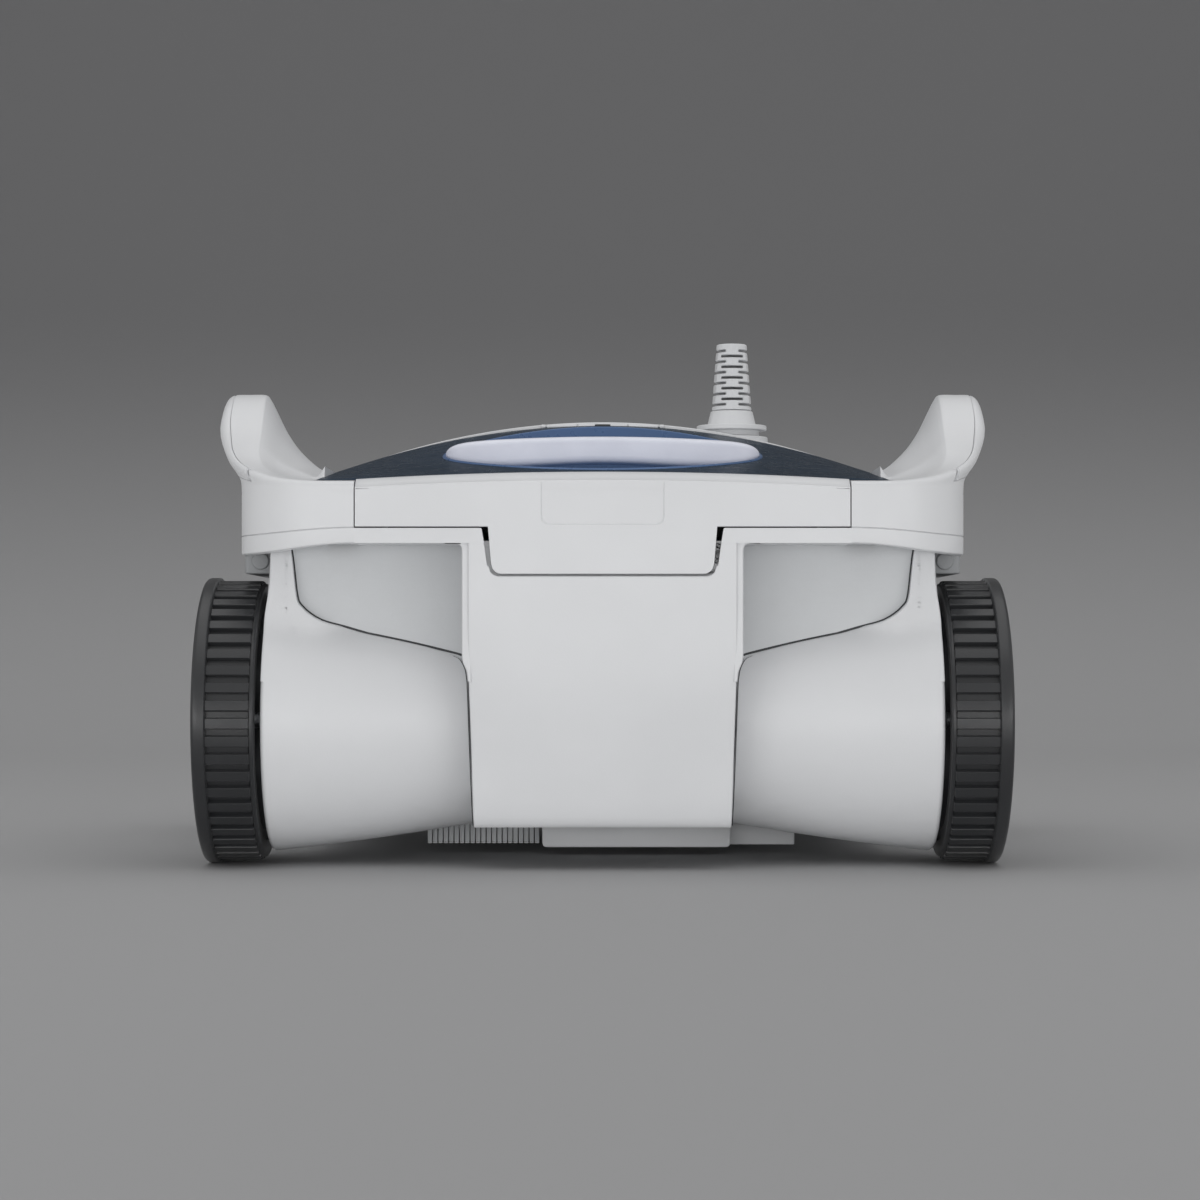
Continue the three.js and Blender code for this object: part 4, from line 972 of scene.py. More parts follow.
@dataclass
class Wheel(CornerPart):
    """One wheel: a ribbed tyre with an outer flange, a disc with round holes, and its axle."""

    ribs: int = 50
    groove: float = 2.6  # depth between the ribs
    land_share: float = 0.6  # part of a rib's pitch that is rib
    inner_ring: float = 2.2  # smooth ring at the inner edge
    flange_width: float = 7.5
    flange_step: float = 1.5  # rise of the flange over the ribs
    bore: float = 60.0
    hole_count: int = 5
    hole_radius: float = 10.0
    hole_orbit: float = 34.0
    hole_lip: float = 2.2  # width of the raised rim round a hole
    web: Pair = (188.0, 192.0)  # faces of the disc along X
    boss_radius: float = 12.0
    boss_foot: float = 14.5
    boss_bore: float = 4.6
    rim_wall: float = 5.0
    step_radius: float = 50.5  # inner edge of the raised ring inside the rim
    spoke_half: float = 2.2
    spoke_end: float = 52.0
    draw_in: float = 2.7  # by which the moulded wheel is slimmer than its envelope

    def __post_init__(self) -> None:
        """Reads the wheel's place from its CAD nodes."""
        low, high = limits(f"tyre_{self.tag}")
        self.radius = (high[2] - low[2]) / 2
        self.centre = (0.0, (low[1] + high[1]) / 2, (low[2] + high[2]) / 2)
        self.inner_x, self.outer_x = sorted(abs(v) for v in (low[0], high[0]))

    def tread_profile(self) -> Tuple[Array, Array]:
        """Rows across the tyre, as (X, radius over the ribs), with each row's share of the grooves.

        Returns:
            The profile from the bore's inner edge round to its outer edge, and the shares.
        """
        land = self.radius - self.flange_step
        ring = land - 0.55 * self.groove
        x0, x1 = self.inner_x, self.outer_x
        start, stop = x0 + self.inner_ring, x1 - self.flange_width
        rows = [
            (x0, self.bore, 0), (x0, ring - 1.2, 0), (x0 + 0.3, ring - 0.4, 0),
            (x0 + 1.0, ring, 0), (start - 0.1, ring, 0), (start + 0.1, land - 0.7, 1),
            (start + 0.35, land - 0.2, 1), (start + 0.9, land, 1), (stop - 1.2, land, 1),
            (stop - 0.3, land, 1), (stop, land + 0.3, 0.6), (stop + 0.25, self.radius - 0.5, 0),
            (stop + 0.7, self.radius - 0.1, 0), (stop + 1.2, self.radius, 0),
            (x1 - 2.2, self.radius, 0), (x1 - 1.2, self.radius - 0.3, 0),
            (x1 - 0.4, self.radius - 1.0, 0), (x1, self.radius - 2.2, 0),
            (x1, self.bore + 3.4, 0), (x1 - 0.5, self.bore + 2.4, 0),
            (x1 - 1.4, self.bore + 2.0, 0), (x1 - 2.0, self.bore + 1.0, 0),
            (x1 - 2.0, self.bore, 0),
        ]
        table = np.asarray(rows, float)
        return table[:, :2], table[:, 2]

    def tyre(self) -> Surface:
        """Tyre whose radius over the tread is land minus groove times (1 - rib).

        Rib is 1 on a land and 0 in a groove, and eases between them over a short arc, so that
        each rib keeps a crisp but rounded edge.

        Returns:
            The surface, for the right side.
        """
        profile, share = self.tread_profile()
        pitch = 2 * math.pi / self.ribs
        half = self.land_share / 2
        steps = np.array([-0.5, -half - 0.035, -half - 0.012, -half, -half + 0.012, -half + 0.035,
                          -0.1, 0.1, half - 0.035, half - 0.012, half, half + 0.012, half + 0.035])
        rib = 1 - smooth_step((np.abs(steps) - half + 0.02) / 0.045)
        angle = ((np.arange(self.ribs)[:, None] + steps[None, :]) * pitch).ravel()
        rib = np.tile(rib, self.ribs)
        radius = profile[:, 1][:, None] - self.groove * share[:, None] * (1 - rib)[None, :]
        level = np.broadcast_to(profile[:, 0][:, None], radius.shape)
        points = np.stack([level, radius * np.cos(angle), radius * np.sin(angle)], axis=-1)
        return Surface.grid(points, wrap_rows=True, wrap_columns=True)

    @staticmethod
    def spun(angle: float) -> Array:
        """Matrix that turns rows of points about X by an angle: the usual sines and cosines."""
        c, s = math.cos(angle), math.sin(angle)
        return np.array([[1, 0, 0], [0, c, s], [0, -s, c]])

    def holed_web(self, inner: float, outer: float) -> Surface:
        """Disc with round holes, as one patch for each hole.

        A patch runs from its hole's circle to the edge of its sector: a point is the circle's
        point times (1 - t) plus the sector edge's point times t.

        Args:
            inner: Radius of the disc's inner edge.
            outer: Radius of its outer edge.

        Returns:
            The surface, about the origin.
        """
        along_side = np.linspace(-1, 1, 13)[:-1]
        one = np.ones_like(along_side)
        a = np.concatenate([along_side, one, -along_side, -one])
        b = np.concatenate([-one, along_side, one, -along_side])
        turn = np.arctan2(b, a)
        middle, reach = (inner + outer) / 2, (outer - inner) / 2
        sheets = []
        for k in range(self.hole_count):
            phi = (k + 0.5) * 2 * math.pi / self.hole_count
            ring_r = middle + a * reach
            ring_phi = phi + b * math.pi / self.hole_count
            edge = np.stack([ring_r * np.cos(ring_phi), ring_r * np.sin(ring_phi)], axis=1)
            hole = np.stack([self.hole_orbit + self.hole_radius * np.cos(turn),
                             self.hole_radius * np.sin(turn)], axis=1) @ self.spun(phi)[1:, 1:]
            t = np.linspace(0, 1, 4)[:, None, None]
            sheet = hole[None] * (1 - t) + edge[None] * t
            low, high = (np.concatenate([np.full(sheet.shape[:2] + (1,), x), sheet], axis=2)
                         for x in self.web)
            sheets.append(Surface.grid(np.concatenate([low[::-1], high]), wrap_columns=True))
        return Surface.joined(sheets)

    def disc(self) -> Surface:
        """Wheel disc: web with holes, raised rims round the holes, hub boss and outer rim.

        Returns:
            The surface, about the origin, for the right side.
        """
        low, high = limits(f"wheel_hub_{self.tag}")
        inner, outer = sorted(abs(v) for v in (low[0], high[0]))
        edge = (high[2] - low[2]) / 2
        (x0, x1), bore, foot = self.web, self.boss_bore, self.boss_foot
        rim = rounded([(inner, edge - self.rim_wall), (outer, edge - self.rim_wall),
                       (outer, edge), (inner, edge)], [0.5, 1.6, 1.2, 0.5], 4)
        boss = rounded([(x0 - 6, bore), (outer, bore), (outer, self.boss_radius), (x1, foot),
                        (x0 - 6, foot)], [0.3, 0.6, 1.8, 1.5, 0.5], 4)
        step = rounded([(x0, self.step_radius), (x1 + 1.6, self.step_radius),
                        (x1 + 1.6, edge - 4), (x0, edge - 4)], [0.3, 1.2, 0.3, 0.3], 4)
        parts = [Surface.turned(p, "x", (0, 0, 0), 120) for p in (rim, boss, step)]
        parts.append(self.holed_web(self.boss_radius, edge - 2))
        hole, lip = self.hole_radius, self.hole_radius + self.hole_lip
        collar = rounded([(x0 - 0.5, hole), (x1 + 1.0, hole), (x1 + 1.0, lip), (x0 - 0.5, lip)],
                         [0.3, 0.5, 0.8, 0.3], 3)
        bar = Surface.block((x1 - 1, self.boss_radius - 1, -self.spoke_half),
                            (x1 + 2.2, self.spoke_end, self.spoke_half), 0.8, 0.8)
        for k in range(self.hole_count):
            phi = (k + 0.5) * 2 * math.pi / self.hole_count
            parts.append(Surface.turned(collar, "x", (0, self.hole_orbit * math.cos(phi),
                                                      self.hole_orbit * math.sin(phi)), 40))
            turn = self.spun(phi + math.pi / self.hole_count)
            parts.append(Surface(bar.points @ turn, bar.faces))
        return Surface.joined(parts)

    def slimmed(self, surface: Surface) -> Surface:
        """Draws a surface in along X, by a share of each point's way from the inner edge.

        Args:
            surface: Tyre or disc, for the right side.

        Returns:
            The slimmer surface.
        """
        points = surface.points.copy()
        share = 1 - self.draw_in / (self.outer_x - self.inner_x)
        points[:, 0] = self.inner_x + (points[:, 0] - self.inner_x) * share
        return Surface(points, surface.faces)

    def dress(self, finish: Finishes) -> None:
        """Makes the tyre, disc, axle and gear.

        Args:
            finish: The shared finishes.
        """
        body = f"wheel_{self.tag}"
        tyre, disc = (self.slimmed(part).mirrored(x=self.side.value).moved(self.centre)
                      for part in (self.tyre(), self.disc()))
        make_piece(f"tyre_{self.tag}_ribbed", tyre, finish.tyre, body, [f"tyre_{self.tag}"], 40.0)
        make_piece(f"wheel_disc_{self.tag}", disc, finish.wheel, body, [f"wheel_hub_{self.tag}"], 40.0)
        refined(f"wheel_axle_{self.tag}", finish.steel, 0.5)
        refined(f"wheel_gear_{self.tag}", finish.nylon, 0.4)


# --- Fenders ---


@dataclass
class Fender(CornerPart):
    """Fender round a corner of the tub: a swelling drum that sweeps up into a tab."""

    narrow: float = 51.0  # radius at the centre panel
    wide: float = 65.0  # radius at the wheel
    edge: float = 2.4  # rounding at the wheel end
    grow: float = 1.2  # reach of the drum's rounded end towards the wheel
    lean_in: float = 2.6  # of the inner end beside the panel, from its foot up
    wall: float = 3.0
    cover_x: float = 154.3  # the drum is whole beyond the side cover
    wall_gap: float = 39.3  # from the axle to the tub's end wall
    floor_gap: float = 51.3  # from the axle to the tub's floor
    tab_front: float = 46.2  # from the axle to the tab's face
    tab_lean: float = 2.8  # of the tab's face as it rises
    tab_width: float = 9.6
    lip: float = 0.9  # rounding of the upper edge
    joint: Pair = (-0.35, 0.75)  # painted shadow of the gap along the upper edge: the dark ribbon's reach below and above it
    joint_depth: Pair = (0.9, 1.35)  # its faces, in front of the end wall
    bore: float = 8.0  # hole for the axle

    def __post_init__(self) -> None:
        """Reads the place of the drum from its CAD node and the axle from the wheel's."""
        low, high = limits(f"fender_{self.tag}")
        self.inner_x, self.outer_x = sorted(abs(v) for v in (low[0], high[0]))
        top = high[2]
        low, high = limits(f"tyre_{self.tag}")
        self.axle_y, self.axle_z = abs(low[1] + high[1]) / 2, (low[2] + high[2]) / 2
        self.top = top - self.axle_z
        self.tab_end = self.outer_x - 1.6
        self.tab_x = self.tab_end - self.tab_width
        self.outer_x += self.grow
        self.inner_x -= 0.6

    def radius(self, x: Array) -> Array:
        """Drum radius at X: a slightly swelling cone, then a quarter round at the wheel end.

        Args:
            x: Places across.

        Returns:
            The radius at each.
        """
        full = self.outer_x - self.edge
        share = (x - self.inner_x) / (full - self.inner_x)
        cone = self.narrow + (self.wide - self.narrow) * np.clip(share, 0, 1)
        cone = cone + 0.8 * np.sin(math.pi * np.clip(share, 0, 1))
        over = np.clip((x - full) / self.edge, 0, 1)
        return cone - self.edge * (1 - np.sqrt(np.clip(1 - over ** 2, 0, 1)))

    def seam(self, x: Array) -> Array:
        """Height of the upper edge above the axle at X.

        It is where the drum meets the end wall, rounded down beside the panel, or where it
        is higher the S in which the edge rises to the tab's top.

        Args:
            x: Places across.

        Returns:
            The height at each.
        """
        drum = np.sqrt(np.clip(self.radius(x) ** 2 - (self.wall_gap + 1.2) ** 2, 0, None))
        rise = self.top - 46.0
        sweep = flowing([(-39, 42.6), (-26, 46.4), (-18.5, 48.3), (-13.4, 50.3), (-8.5, 53.6),
                         (-5.8, 56.2), (-3.9, 46 + 0.32 * rise), (-2.9, 46 + 0.43 * rise),
                         (-2.2, 46 + 0.58 * rise), (-1.0, 46 + 0.85 * rise), (0, self.top)], 8)
        lift = np.interp(x - self.tab_x, sweep[:, 0], sweep[:, 1], left=0.0)
        corner = np.clip(1 - (x - self.inner_x) / 8.0, 0, 1)
        return np.maximum(drum, lift) - 12.0 * (1 - np.sqrt(1 - corner ** 2.6))

    def reach(self, x: Array, z: Array) -> Array:
        """Distance of the face from the axle, at a height above it.

        It is the soft maximum of the drum, sqrt(r^2 - z^2), and of the tab's leaning plate,
        which sinks behind the drum away from the tab: (a + b + sqrt((a - b)^2 + k^2)) / 2.

        Args:
            x: Places across.
            z: Heights above the axle.

        Returns:
            The distance at each.
        """
        drum = np.sqrt(np.clip(self.radius(x) ** 2 - z ** 2, 0, None))
        height = np.clip((z - 42) / (self.top - 42), 0, 1)
        away = 1 - smooth_step((x - self.tab_x + 40) / 30)
        plate = self.tab_front - self.tab_lean * height ** 2 - 12 * away
        k = 3.0 * smooth_step(z / 25)
        return (drum + plate + np.sqrt((drum - plate) ** 2 + k ** 2)) / 2

    def face(self) -> Surface:
        """Skin from the upper edge down the front and under to the tub's floor.

        Returns:
            The surface for the front right corner, about the axle.
        """
        start = np.array([0.0, 0.08, 0.2, 0.4, 0.7, 1.1, 1.7, 2.4, 3.2, 4.2, 5.4, 6.7, 8.0])
        x = np.concatenate([
            self.inner_x + start, np.linspace(self.inner_x + 12, self.tab_x - 12, 20),
            np.linspace(self.tab_x - 11, self.tab_x, 45), [self.tab_x + 2, self.cover_x]])[:, None]
        radius, seam = self.radius(x), self.seam(x)
        side = edge_fall(x - self.inner_x, 0.9)
        upper = seam * np.cos(np.linspace(0, math.pi / 2, 40, endpoint=False))
        upper = np.concatenate([upper[:, :1], seam - np.array([[0.12, 0.4, 0.8]]),
                                upper[:, 1:].clip(None, seam - 1.2)], axis=1)
        sink = np.clip(self.floor_gap / radius, 0, 1)
        lower = -math.pi + np.arcsin(sink)
        angle = lower * np.linspace(0, 1, 48)
        fall = edge_fall(seam - upper, self.lip)
        outer = [(self.reach(x, upper) - fall - side, upper),
                 ((radius - side) * np.cos(angle), (radius - side) * np.sin(angle))]
        thin = radius - self.wall
        sink = np.clip(self.floor_gap / thin, 0, 1)
        start = np.arccos((self.wall_gap + 0.2) / thin)
        turn = start + (np.arcsin(sink) - math.pi - start) * np.linspace(1, 0, 24)
        inner = [(thin * np.cos(turn), thin * np.sin(turn)), (np.full_like(x, self.wall_gap + 0.2), seam)]
        ring = [np.stack([np.broadcast_to(x, z.shape), -y, z], axis=-1) for y, z in outer + inner]
        points = np.concatenate(ring, axis=1)
        rise = np.clip((points[..., 2] + self.floor_gap) / 75, 0, 1)
        near = 1 - smooth_step((points[..., 0] - self.inner_x) / 26)
        points[..., 0] += self.lean_in * rise * near
        return Surface.loft(points)

    def end_ring(self) -> Surface:
        """Whole rounded end of the drum beside the wheel, with its face round the axle.

        Returns:
            The surface, about the axle.
        """
        x = np.linspace(self.cover_x, self.outer_x - self.edge, 4)
        turn = np.linspace(0, math.pi / 2, 9)[1:]
        x = np.concatenate([x, self.outer_x - self.edge * (1 - np.sin(turn))])
        outer = np.stack([x, self.radius(x)], axis=1)
        end, back = self.outer_x, self.outer_x - self.wall
        face = np.array([(end, self.wide - 9), (end - 1.2, self.wide - 10.5), (end - 1.2, 17),
                         (end, 15.5), (end, self.bore), (back, self.bore),
                         (back, self.wide - 12), (self.cover_x, self.wide - 6)])
        return Surface.turned(np.concatenate([outer, face]), "x", (0, 0, 0), 144)

    def tab(self) -> Surface:
        """Outer part of the tab, a plate that stands on the drum's end.

        Returns:
            The surface, about the axle.
        """
        z = np.linspace(20.0, self.top, 44)[None, :]
        outer = self.tab_end + (self.outer_x - self.tab_end) * smooth_step((72 - z) / 26)
        start = self.cover_x - 1.5
        x = start + (outer - start) * near_edges(0.0, 1.0, 0.09, 6)[:, None]
        fall = edge_fall(outer - x, 0.8) + edge_fall(self.top - z, 0.9)
        front = np.maximum(self.reach(np.minimum(x, self.tab_end - 1), z) - fall, self.wall_gap)
        z = np.broadcast_to(z, front.shape)
        face = np.stack([x, -front, z], axis=-1)
        back = np.stack([x, np.full_like(x, -self.wall_gap + 1.5), z], axis=-1)
        return Surface.loft(np.concatenate([face, back[:, ::-1]], axis=1))

    def joint_line(self) -> Surface:
        """Painted shadow of the gap between the upper edge and the end wall: a thin dark ribbon along the edge.

        Returns:
            The surface, about the axle.
        """
        x = np.concatenate([self.inner_x + np.array([4.2, 5.0, 6.0, 7.0, 8.0, 9.5]) + 1.6,
                            np.linspace(self.inner_x + 12, self.tab_x - 12, 24),
                            np.linspace(self.tab_x - 11, self.tab_x - 0.05, 45)])
        line = np.stack([x, self.seam(x)], axis=1)
        step = np.gradient(line, axis=0)
        up = np.stack([-step[:, 1], step[:, 0]], axis=1) / np.linalg.norm(step, axis=1)[:, None]
        low, high = line + up * self.joint[0], line + up * self.joint[1]
        near, far = (self.wall_gap + depth for depth in self.joint_depth)
        return ribbon((low, high, high, low), (near, near, far, far))

    def set_down(self, surface: Surface) -> Surface:
        """Moves a surface from the axle to this corner of the cleaner."""
        placed = surface.moved((0, -self.axle_y, self.axle_z))
        return placed.mirrored(x=self.side.value, y=-self.end.value)

    def dress(self, finish: Finishes) -> None:
        """Makes the fender and the dark ribbon painted as the shadow of its gap.

        Args:
            finish: The shared finishes.
        """
        shell = Surface.joined([self.face(), self.end_ring(), self.tab()])
        make_piece(f"fender_{self.tag}_shell", self.set_down(shell), finish.shell, "chassis",
                   [f"fender_{self.tag}"], 35.0)
        # dark ribbon along the upper edge: painted shadow of the gap between fender and end wall
        make_piece(f"fender_{self.tag}_joint", self.set_down(self.joint_line()), finish.dark, "chassis")


# --- Body: centre panels, tub and side covers ---


@dataclass
class CentrePanel:
    """Upright panel in the middle of an end, slimmer towards its foot."""

    end: End
    notch_half: Pair = (54.2, 56.3)  # half widths of the tongue's notch at its foot and top
    notch_foot: float = 141.3
    notch_corner: float = 5.0
    edge: float = 1.0
    foot_half: float = 61.9  # half widths of the face at its foot and from the fold up
    fold_half: float = 64.0
    fold_rise: float = 9.0  # of the soft fold from the middle to the sides
    fold_span: Pair = (9.0, 128.0)  # where it starts above the foot, and where it ends
    strip_outer: float = 67.0  # soft shoulder beside the panel, along the recess
    strip_back: float = 1.3
    strip_corner: float = 3.6
    wall_y: float = 169.3
    strip_reach: float = 158.0
    strip_foot: float = 99.0
    joint: float = 0.4  # width of the dark ribbon painted as the shadow down the side
    gap_back: Pair = (199.6, 196.6)  # dark block behind the notch, painted shadow in the gap round the tongue: its front and rear face

    def __post_init__(self) -> None:
        """Reads the panel's place from its CAD node."""
        low, high = limits(f"{self.end.word}_panel")
        self.bottom, self.top = low[2], high[2]
        self.front = max(abs(low[1]), abs(high[1]))
        self.crown = self.top + 0.3 + self.edge

    def depth(self, z: Array) -> Array:
        """Distance of the face from the middle: a smooth curve that leans in below a soft fold."""
        curve = flowing([(20.6, 186.0), (23.5, 189.6), (29, 192.0), (38, 194.2), (60, 198.6),
                         (86, 203.0), (110, 204.6), (131, 205.0), (133, 205.0), (157, 205.0)], 8)
        return np.interp(z, curve[:, 0], curve[:, 1]) - 205.0 + self.front

    def crest(self, x: Array) -> Array:
        """Upper limit at X: the notch's rounded floor, its leaning side, then the full height.

        Args:
            x: Places across.

        Returns:
            The height at each.
        """
        if self.end is End.REAR:
            return np.full_like(x, self.crown)
        low, high = self.notch_half
        lean = (high - low) / (self.top - self.notch_foot)
        side = self.notch_foot + (np.abs(x) - low) / lean
        corner = np.clip(np.abs(x) - (low - self.notch_corner), 0, self.notch_corner)
        floor = self.notch_foot + self.notch_corner - np.sqrt(
            np.clip(self.notch_corner ** 2 - corner ** 2, 0, None))
        return np.minimum(np.where(np.abs(x) < low, floor, np.maximum(side, floor)), self.crown)

    def shell(self) -> Surface:
        """Panel as a grid over its face, closed by its sides and a flat back.

        A point of the face is (x, -depth(z) + falls, z), where the falls round its four edges
        and the edge of the notch.

        Returns:
            The surface for the front.
        """
        half = self.fold_half
        x = near_edges(-half, half, self.edge, 30)
        low, high = self.notch_half
        extra = np.concatenate([np.linspace(low - 5, low, 7), np.linspace(low, high, 9)])
        x = np.unique(np.round(np.concatenate([x, extra, -extra, [high + 0.4, -high - 0.4]]), 4))
        crest = self.crest(x)
        share = near_edges(0.0, 1.0, 0.012, 64)
        z = self.bottom + share[:, None] * (crest - self.bottom)[None, :]
        fall = (edge_fall(half - np.abs(x), self.edge)[None, :]
                + edge_fall(z - self.bottom, self.edge) + edge_fall(crest[None, :] - z, self.edge))
        bend = self.fold_rise * (np.broadcast_to(x, z.shape) / half) ** 2
        start, stop = self.fold_span
        bend *= smooth_step((z - self.bottom - start) / 30) * smooth_step((stop - z) / 30)
        y = -self.depth(z - bend) + fall
        lean = self.foot_half / half
        share = np.clip((z - self.bottom) / (self.strip_foot - self.bottom), 0, 1)
        wide = lean + (1 - lean) * share
        face = np.stack([x * wide, y, z], axis=-1)
        back = face.copy()
        back[..., 1] = -self.wall_y
        return Surface.loft(np.concatenate([face, back[:, ::-1]], axis=1))

    def strip(self) -> Surface:
        """Shoulder between the panel and the recess, with a rounded upper corner.

        Returns:
            The surface, for the right of the front.
        """
        outer, top, foot = self.strip_outer, self.top + 0.2, self.strip_foot
        plan = rounded([(self.fold_half - 1.6, foot - 8), (self.fold_half + 0.1, foot - 8),
                        (self.fold_half + 0.5, foot - 3), (outer, foot + 2), (outer, foot + 9),
                        (outer, top), (outer + 8, top), (outer + 8, top + 0.6),
                        (self.fold_half - 1.6, top + 0.6)],
                       [0, 0, 3, 5, 0, self.strip_corner, 0, 0, 0], 8)
        return Surface.prism(plan[:, ::-1], "y", (-self.front + self.strip_back, -self.wall_y), 0.9)

    def recess_wall(self) -> Surface:
        """Smooth wall at the back of the recess, from the shoulder to the fender's tab."""
        return Surface.block((self.fold_half - 3, -self.wall_y - 1.3, self.strip_foot - 8),
                             (self.strip_reach, -self.wall_y - 0.1, self.top + 1.4), 0.2, 0.2)

    def joint_line(self) -> Surface:
        """Painted shadow down the panel's side: a dark ribbon between it and the fender's inner end.

        Returns:
            The surface, for the right of the front.
        """
        foot, half = self.strip_foot, self.fold_half
        outer, low = self.strip_outer, self.foot_half
        line = flowing([(outer + 4.0, foot + 4.4), (outer + 0.8, foot + 2.6),
                        (half + 1.5, foot - 1.6), (half + 0.7, foot - 5.8),
                        (half + 0.25, foot - 12), (low + 1.35, foot - 47),
                        (low + 0.3, self.bottom + 1)], 6)
        near = self.depth(line[:, 1]) - 2.0
        wide = line + np.array([self.joint, 0.0])
        return ribbon((line, wide, wide, line), (near, near, near - 1.6, near - 1.6))

    def dress(self, finish: Finishes) -> None:
        """Makes the panel, the recess walls beside it and the dark ribbons and block painted as shadow in its gaps.

        Args:
            finish: The shared finishes.
        """
        word, turn = self.end.word, -self.end.value
        whole = Surface.joined([self.shell(), self.strip().paired()])
        make_piece(f"{word}_panel_shell", whole.mirrored(y=turn), finish.shell, "chassis",
                   [f"{word}_panel"], 30.0)
        # the recess walls take the white shell painted darker, as painted shade
        walls = self.recess_wall().paired()
        make_piece(f"{word}_recess_walls", walls.mirrored(y=turn), finish.recess, "chassis")
        # dark ribbons down the sides and the dark block behind the notch: painted shadow in the gaps
        joints = self.joint_line().paired()
        if self.end is End.FRONT:
            near, far = self.gap_back
            notch_gap_shadow = Surface.block((-60, -near, self.notch_foot - 4), (60, -far, self.top + 0.8))
            joints = Surface.joined([joints, notch_gap_shadow])
        make_piece(f"{word}_panel_joints", joints.mirrored(y=turn), finish.dark, "chassis")


# --- Upper frame with its side fins ---


